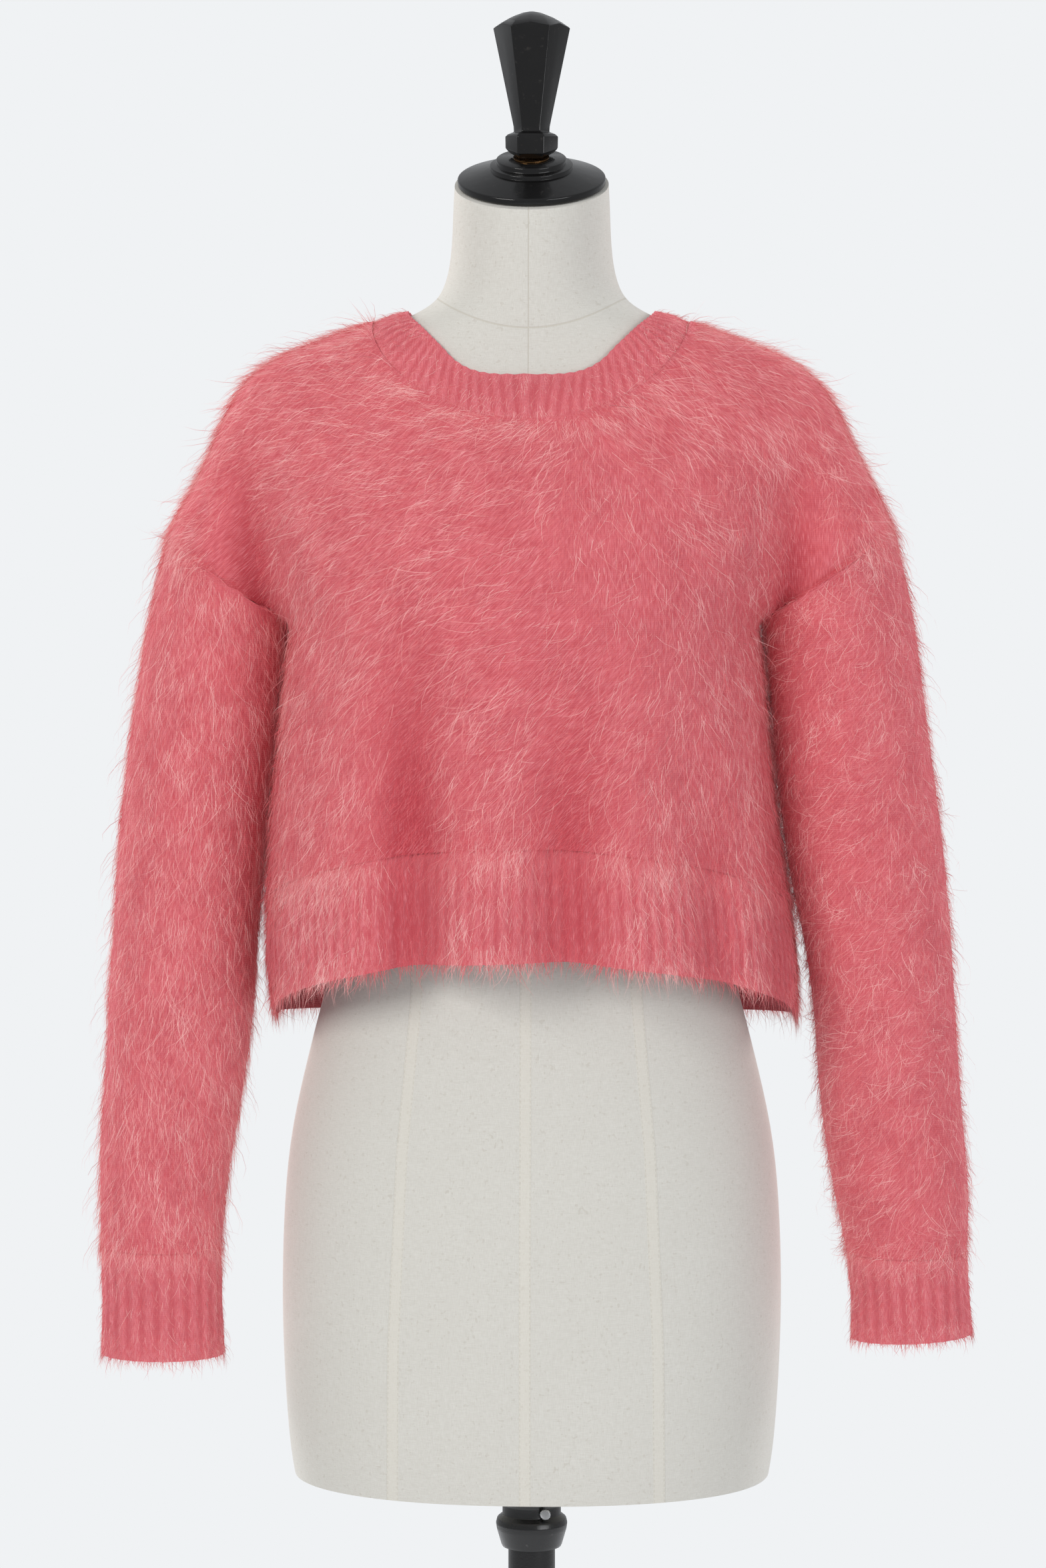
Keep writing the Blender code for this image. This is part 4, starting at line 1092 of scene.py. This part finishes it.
def tapes_of(linen, x, z):
    """The middle and side tapes, and the dashed stitches just inside their edges."""
    below_neck = linen.ramp(z, NECK_FOOT_Z, NECK_FOOT_Z - 0.010)
    nearest = x.size()
    for sign in (1, -1):
        nearest = nearest.maths("MINIMUM", nearest, tape_offset(linen, x, z, sign))
    tape = linen.ramp(nearest, TAPE_HALF, TAPE_HALF - 0.0005) * below_neck
    edge = linen.ramp((nearest - (TAPE_HALF - 0.0009)).size(), 0.00042, 0.00022)
    dash = linen.ramp((z * (2 * math.pi / TAPE_DASH)).wave(), -0.3, 0.2)
    return tape, edge * dash * below_neck


def neck_seams_of(linen, x, y, z):
    """The seam up the neck's front and the one round its foot, as thin lines."""
    in_front = linen.ramp(y, 0.0, -0.01) * linen.ramp(z, NECK_FOOT_Z - 0.010, NECK_FOOT_Z)
    upright = linen.ramp(x.size(), 0.00045, 0.00020) * in_front
    round_foot = (z - (x * x * NECK_BASE_CURVE + NECK_BASE_Z)).size()
    return upright.maths("MAXIMUM", upright, linen.ramp(round_foot, 0.0008, 0.0003))


def linen_finish():
    """Threads with blotches and flecks, then tapes, stitches and seams in colour and relief."""
    linen = Finish("linen_cover_weave", Roughness=0.85, Sheen_Weight=0.15, Sheen_Roughness=0.5)
    place = linen.place()
    x, y, z = linen.axes(place)
    weave = weave_of(linen, place)
    tape, stitch = tapes_of(linen, x, z)
    seam = neck_seams_of(linen, x, y, z)
    colour = linen.over(
        linen.mix(linen.ramp(weave, 0.36, 0.64), LINEN_DARK, LINEN),
        (linen.ramp(linen.noise(place, 9.0, 4.0), 0.40, 0.75) * 0.25, LINEN_DARK),
        (linen.ramp(linen.noise(place, 420.0, 0.0), 0.735, 0.76) * 0.14, FLECK),
        (tape * 0.30, LINEN_TAPE),
        (stitch * 0.32, THREAD),
        (seam * 0.6, THREAD),
    )
    relief = weave * 0.25 + tape * 0.5 - stitch * 0.35 - seam * 0.5
    return linen.wear(Base_Color=colour, Normal=linen.bump(relief, 0.0006, 0.6))


form = smooth_copy("form_linen", "dress_form", FORM_LEVELS)
form.data.materials.append(linen_finish())
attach(form, "root")
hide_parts("dress_form")
print("form faces", len(form.data.polygons))

# %% [markdown]
# ## Turned and lacquered pieces
#
# The cap, washer, collar, pole and foot are turned on a lathe. Their solids carry the profile
# but only a few flats round. The profile is read back from the solid as rows of height and
# radius, its corners are rounded by a small arc, and it is spun again with many more steps.

# %% Turned pieces
NECK_TILT = math.radians(20.5)
NECK_TOP_Z = 1.5213
AROUND = 96  # steps round a turned skin
ON_AXIS, SAME_HEIGHT = 1e-4, 2e-5  # nearer than this counts as on the axis, or as one row
CORNER = 0.0006
SPUN_ANGLE = math.radians(35)  # a turned edge sharper than this stays sharp


def untilt(points, back=1):
    """Turns points about the neck's cut, so that a leaning piece stands upright, or the reverse."""
    cosine, sine = math.cos(NECK_TILT), math.sin(NECK_TILT) * back
    y, z = points[:, 1], points[:, 2] - (NECK_TOP_Z if back > 0 else 0)
    turned = np.stack([points[:, 0], y * cosine + z * sine, z * cosine - y * sine], axis=1)
    return turned + ((0, 0, 0) if back > 0 else (0, 0, NECK_TOP_Z))


def profile_of(points):
    """Rows of radius and height, bottom to top, of a turned solid that stands on the axis."""
    radius = np.linalg.norm(points[:, :2], axis=1)
    points, radius = points[radius > ON_AXIS], radius[radius > ON_AXIS]
    heights = np.unique(np.round(points[:, 2], 5))
    rows = [(radius[np.abs(points[:, 2] - h) < SAME_HEIGHT].max(), h) for h in heights]
    return np.array(rows)


def rounded(rows, size):
    """Each corner of a profile as a short arc, a Bezier curve that starts at most size away."""
    out = [rows[0]]
    for before, corner, after in zip(rows[:-2], rows[1:-1], rows[2:]):
        into, away = before - corner, after - corner
        reach = min(size, np.linalg.norm(into) * 0.45, np.linalg.norm(away) * 0.45)
        a, b = corner + unit(into) * reach, corner + unit(away) * reach
        for t in (0.0, 0.33, 0.67, 1.0):
            out.append(a * (1 - t) ** 2 + corner * 2 * t * (1 - t) + b * t**2)
    return np.array([*out, rows[-1]])


def spun(name, rows):
    """A turned skin: each row of radius and height as a ring, with its two ends closed."""
    rows = np.concatenate([[[ON_AXIS, rows[0, 1]]], rows, [[ON_AXIS, rows[-1, 1]]]])
    turn = np.arange(AROUND) * 2 * math.pi / AROUND
    ring = np.stack([np.sin(turn), -np.cos(turn)], axis=1)
    flat = rows[:, 0, None, None] * ring[None]
    high = np.broadcast_to(rows[:, 1, None, None], (*flat.shape[:2], 1))
    points = np.concatenate([flat, high], axis=2)
    j, i = np.meshgrid(np.arange(len(rows) - 1), np.arange(AROUND), indexing="ij")
    k, low, high = (i + 1) % AROUND, j * AROUND, (j + 1) * AROUND
    faces = np.stack([low + i, low + k, high + k, high + i], axis=2)
    ends = [tuple(range(AROUND))[::-1], tuple((len(rows) - 1) * AROUND + n for n in range(AROUND))]
    mesh = bpy.data.meshes.new(name)
    mesh.from_pydata(points.reshape(-1, 3).tolist(), [], faces.reshape(-1, 4).tolist() + ends)
    mesh.shade_smooth()
    mesh.set_sharp_from_angle(angle=SPUN_ANGLE)
    return linked(name, mesh)


def turned_copy(name, node, leaning=False, corner=CORNER):
    """Spins a finer copy of a turned solid from its own profile."""
    points = points_of(NODES[node].data)
    if leaning:
        points = untilt(points)
    obj = spun(name, rounded(profile_of(points), corner))
    if leaning:
        write_points(obj.data, untilt(points_of(obj.data), -1))
    return obj


# %% [markdown]
# ## Lacquer, painted metal, brass and steel
#
# The cap and knob are turned wood under thick black lacquer: nearly black, glossy, with a few
# faint rubs and a soft unevenness that bends the reflections. The stand is satin black paint.

# %% Hard finishes
LACQUER, LACQUER_RUB = rgb(11, 10, 10), rgb(74, 70, 66)
PAINT, PAINT_CHIP = rgb(13, 12, 12), rgb(82, 80, 79)
TURNING_MARKS = (300, 300, 4000)  # cells a metre on each axis


def lacquer_finish():
    """Black gloss under a clear coat, with rubs where the noise peaks and a slow ripple."""
    black = Finish("black_lacquer", Coat_Weight=0.45, Coat_Roughness=0.09, Specular_IOR_Level=0.3)
    place = black.place()
    rub = black.ramp(black.noise(place, 260.0, 4.0), 0.62, 0.80)
    dust = black.ramp(black.noise(place, 1500.0, 1.0), 0.70, 0.80)
    colour = black.mix(rub * 0.25 + dust * 0.15, LACQUER, LACQUER_RUB)
    rough = black.ramp(black.noise(place, 60.0, 3.0), 0.2, 0.8) * 0.12 + 0.14 + rub * 0.2
    ripple = black.noise(place, 90.0, 2.0)
    return black.wear(Base_Color=colour, Roughness=rough, Normal=black.bump(ripple, 0.0008, 0.25))


def paint_finish():
    """Satin black paint on metal with a fine orange peel and small chips of grey."""
    paint = Finish("satin_black_paint", Coat_Weight=0.35, Coat_Roughness=0.25)
    place = paint.place()
    peel = paint.noise(place, 900.0, 2.0)
    chip = paint.ramp(paint.noise(place, 170.0, 5.0), 0.70, 0.74)
    colour = paint.mix(chip * 0.5, PAINT, PAINT_CHIP)
    rough = paint.ramp(paint.noise(place, 30.0, 3.0), 0.2, 0.8) * 0.12 + 0.20
    return paint.wear(Base_Color=colour, Roughness=rough, Normal=paint.bump(peel, 0.0003, 0.3))


def metal_finish(name, bright, dull):
    """Bare metal: rings of fine turning marks and duller clouds."""
    metal = Finish(name, Metallic=1.0)
    place = metal.place()
    cloud = metal.ramp(metal.noise(place, 160.0, 4.0), 0.35, 0.7)
    mark = metal.noise(metal.node("Mapping", None, {0: place, 3: TURNING_MARKS}), 1.0, 1.0)
    colour = metal.mix(cloud * 0.6, bright, dull)
    rough = cloud * 0.2 + 0.22
    return metal.wear(Base_Color=colour, Roughness=rough, Normal=metal.bump(mark, 0.0001, 0.4))


lacquer = lacquer_finish()
paint = paint_finish()
brass = metal_finish("washer_brass", rgb(150, 112, 72), rgb(80, 56, 36))
steel = metal_finish("bright_steel", rgb(196, 196, 196), rgb(128, 128, 130))

TURNED_TABLE = (
    ("cap_turned", "neck_cap", True, lacquer, "black_wood"),
    ("washer_turned", "knob_washer", True, brass, "brass_washer"),
    ("collar_turned", "collar", False, paint, "black_metal"),
    ("pole_turned", "pole", False, paint, "black_metal"),
    ("foot_turned", "foot", False, paint, "black_metal"),
)
for name, node, leaning, finish, slot in TURNED_TABLE:
    obj = turned_copy(name, node, leaning)
    obj.data.materials.append(finish)
    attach(obj, "root")
    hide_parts(node)
    print(name, "rows", len(obj.data.vertices) // AROUND)

# %% [markdown]
# ## The six sided knob and the collar's screw
#
# The knob is cut with flat facets, so its solid's own shape is right. A copy gets a small bevel
# along its edges, because a real lacquered edge catches a line of light.


# %% Knob and screw
FLAT_ANGLE = math.radians(3)  # faces that meet at less than this are one flat facet
BEVEL_ANGLE, BEVEL_STEPS = math.radians(18), 3


def bevelled_copy(name, node, width, finish):
    """A merged copy of a solid with its sharper edges bevelled."""
    mesh = bpy.data.meshes.new(name)
    work = bmesh.new()
    work.from_mesh(NODES[node].data)
    bmesh.ops.remove_doubles(work, verts=work.verts, dist=MERGE)
    bmesh.ops.dissolve_limit(work, angle_limit=FLAT_ANGLE, verts=work.verts, edges=work.edges)
    work.to_mesh(mesh)
    work.free()
    obj = linked(name, mesh)
    bevel = obj.modifiers.new("edges", "BEVEL")
    bevel.width, bevel.segments, bevel.angle_limit = width, BEVEL_STEPS, BEVEL_ANGLE
    bevel.harden_normals = True
    mesh.shade_smooth()
    mesh.materials.clear()
    mesh.materials.append(finish)
    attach(obj, "root")
    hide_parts(node)
    return obj


knob = bevelled_copy("knob_faceted", "knob", 0.0006, lacquer)
screw = bevelled_copy("screw_round", "collar_screw", 0.0002, steel)

# %% [markdown]
# ## Camera, light and floor
#
# The photograph was taken level, a little to the right of the middle, from about three metres.
# The light is large and soft from the upper left, with plenty of fill from a pale room. The
# floor fades into the pale surroundings, so that no edge shows behind the object.

# %% Camera
PHOTO_WIDE, PHOTO_HIGH = 1568, 2351
PIXELS_PER_METRE = 2150.0
AXIS_COLUMN = 797  # the pixel column of the pole's axis
FORM_ROW, FORM_ROW_Z = 2258, 0.60  # a row near the form's lower edge and its height
DISTANCE = 3.2
EYE_HEIGHT = 1.35
TURN = math.radians(2.3)
SENSOR = 36

camera = linked("photo_camera", bpy.data.cameras.new("photo_camera"))
bpy.context.scene.camera = camera
tall = PHOTO_HIGH / PIXELS_PER_METRE
middle_z = FORM_ROW_Z + (FORM_ROW - PHOTO_HIGH / 2) / PIXELS_PER_METRE
camera.location = (DISTANCE * math.sin(TURN), -DISTANCE * math.cos(TURN), EYE_HEIGHT)
camera.rotation_euler = (math.pi / 2, 0, TURN)
camera.data.sensor_width = SENSOR
camera.data.lens = SENSOR * DISTANCE / tall
camera.data.shift_x = (PHOTO_WIDE / 2 - AXIS_COLUMN) / PHOTO_HIGH
camera.data.shift_y = (middle_z - EYE_HEIGHT) / tall
print("lens", round(camera.data.lens, 1), "shift", camera.data.shift_x, camera.data.shift_y)

# %% Light, room and floor
LIGHT_TABLE = (
    ("key", (-2.2, -2.9, 2.9), 76.0, 1.6, (1.0, 0.985, 0.96)),
    ("fill", (2.6, -2.9, 1.7), 50.0, 2.2, (0.97, 0.98, 1.0)),
    ("rim_left", (-2.4, 2.0, 2.2), 76.0, 1.2, (1.0, 1.0, 1.0)),
    ("rim_right", (2.4, 2.0, 2.2), 54.0, 1.2, (1.0, 1.0, 1.0)),
)
AIM = np.array([0.0, 0.0, 1.12])
for name, place, power, size, colour in LIGHT_TABLE:
    lamp = bpy.data.lights.new(name, "AREA")
    lamp.energy, lamp.size, lamp.color = power, size, colour
    lamp_object = linked(name, lamp)
    lamp_object.location = place
    toward = AIM - np.array(place)
    yaw = math.atan2(toward[1], toward[0]) - math.pi / 2
    pitch = math.atan2(np.hypot(toward[0], toward[1]), -toward[2])
    lamp_object.rotation_euler = (pitch, 0, yaw)
    lamp_object.visible_glossy = not name.startswith("rim")

BACKDROP = rgb(240, 242, 244)
ROOM_COLOUR, ROOM_LIGHT = (0.95, 0.97, 1.0, 1.0), 0.42
world = bpy.data.worlds.new("pale_room")
bpy.context.scene.world = world
world.use_nodes = True
tree = world.node_tree
tree.nodes.clear()
seen, lit = (tree.nodes.new("ShaderNodeBackground") for _ in range(2))
seen.inputs[0].default_value = BACKDROP
lit.inputs[0].default_value = ROOM_COLOUR
lit.inputs[1].default_value = ROOM_LIGHT
pick = tree.nodes.new("ShaderNodeMixShader")
path = tree.nodes.new("ShaderNodeLightPath")
room = tree.nodes.new("ShaderNodeOutputWorld")
tree.links.new(path.outputs["Is Camera Ray"], pick.inputs[0])
tree.links.new(lit.outputs[0], pick.inputs[1])
tree.links.new(seen.outputs[0], pick.inputs[2])
tree.links.new(pick.outputs[0], room.inputs[0])

FLOOR_RADIUS = 2.1
FLOOR_FADE = 1.1
FLOOR_LOW, FLOOR_HIGH = -0.004, -0.0004
floor = spun("floor", np.array([[FLOOR_RADIUS, FLOOR_LOW], [FLOOR_RADIUS, FLOOR_HIGH]]))
fade = Finish("pale_floor", Roughness=0.8)
x, y, _ = fade.axes(fade.place())
away = (x * x + y * y) ** 0.5
speckle = fade.noise(fade.place(), 40.0, 3.0)
fade_colour = fade.mix(speckle * 0.1, rgb(232, 234, 236), rgb(222, 224, 226))
see_through = fade.ramp(away, FLOOR_RADIUS - 0.05, FLOOR_FADE)
floor.data.materials.append(fade.wear(Base_Color=fade_colour, Alpha=see_through))

bpy.context.scene.view_settings.view_transform = "Standard"
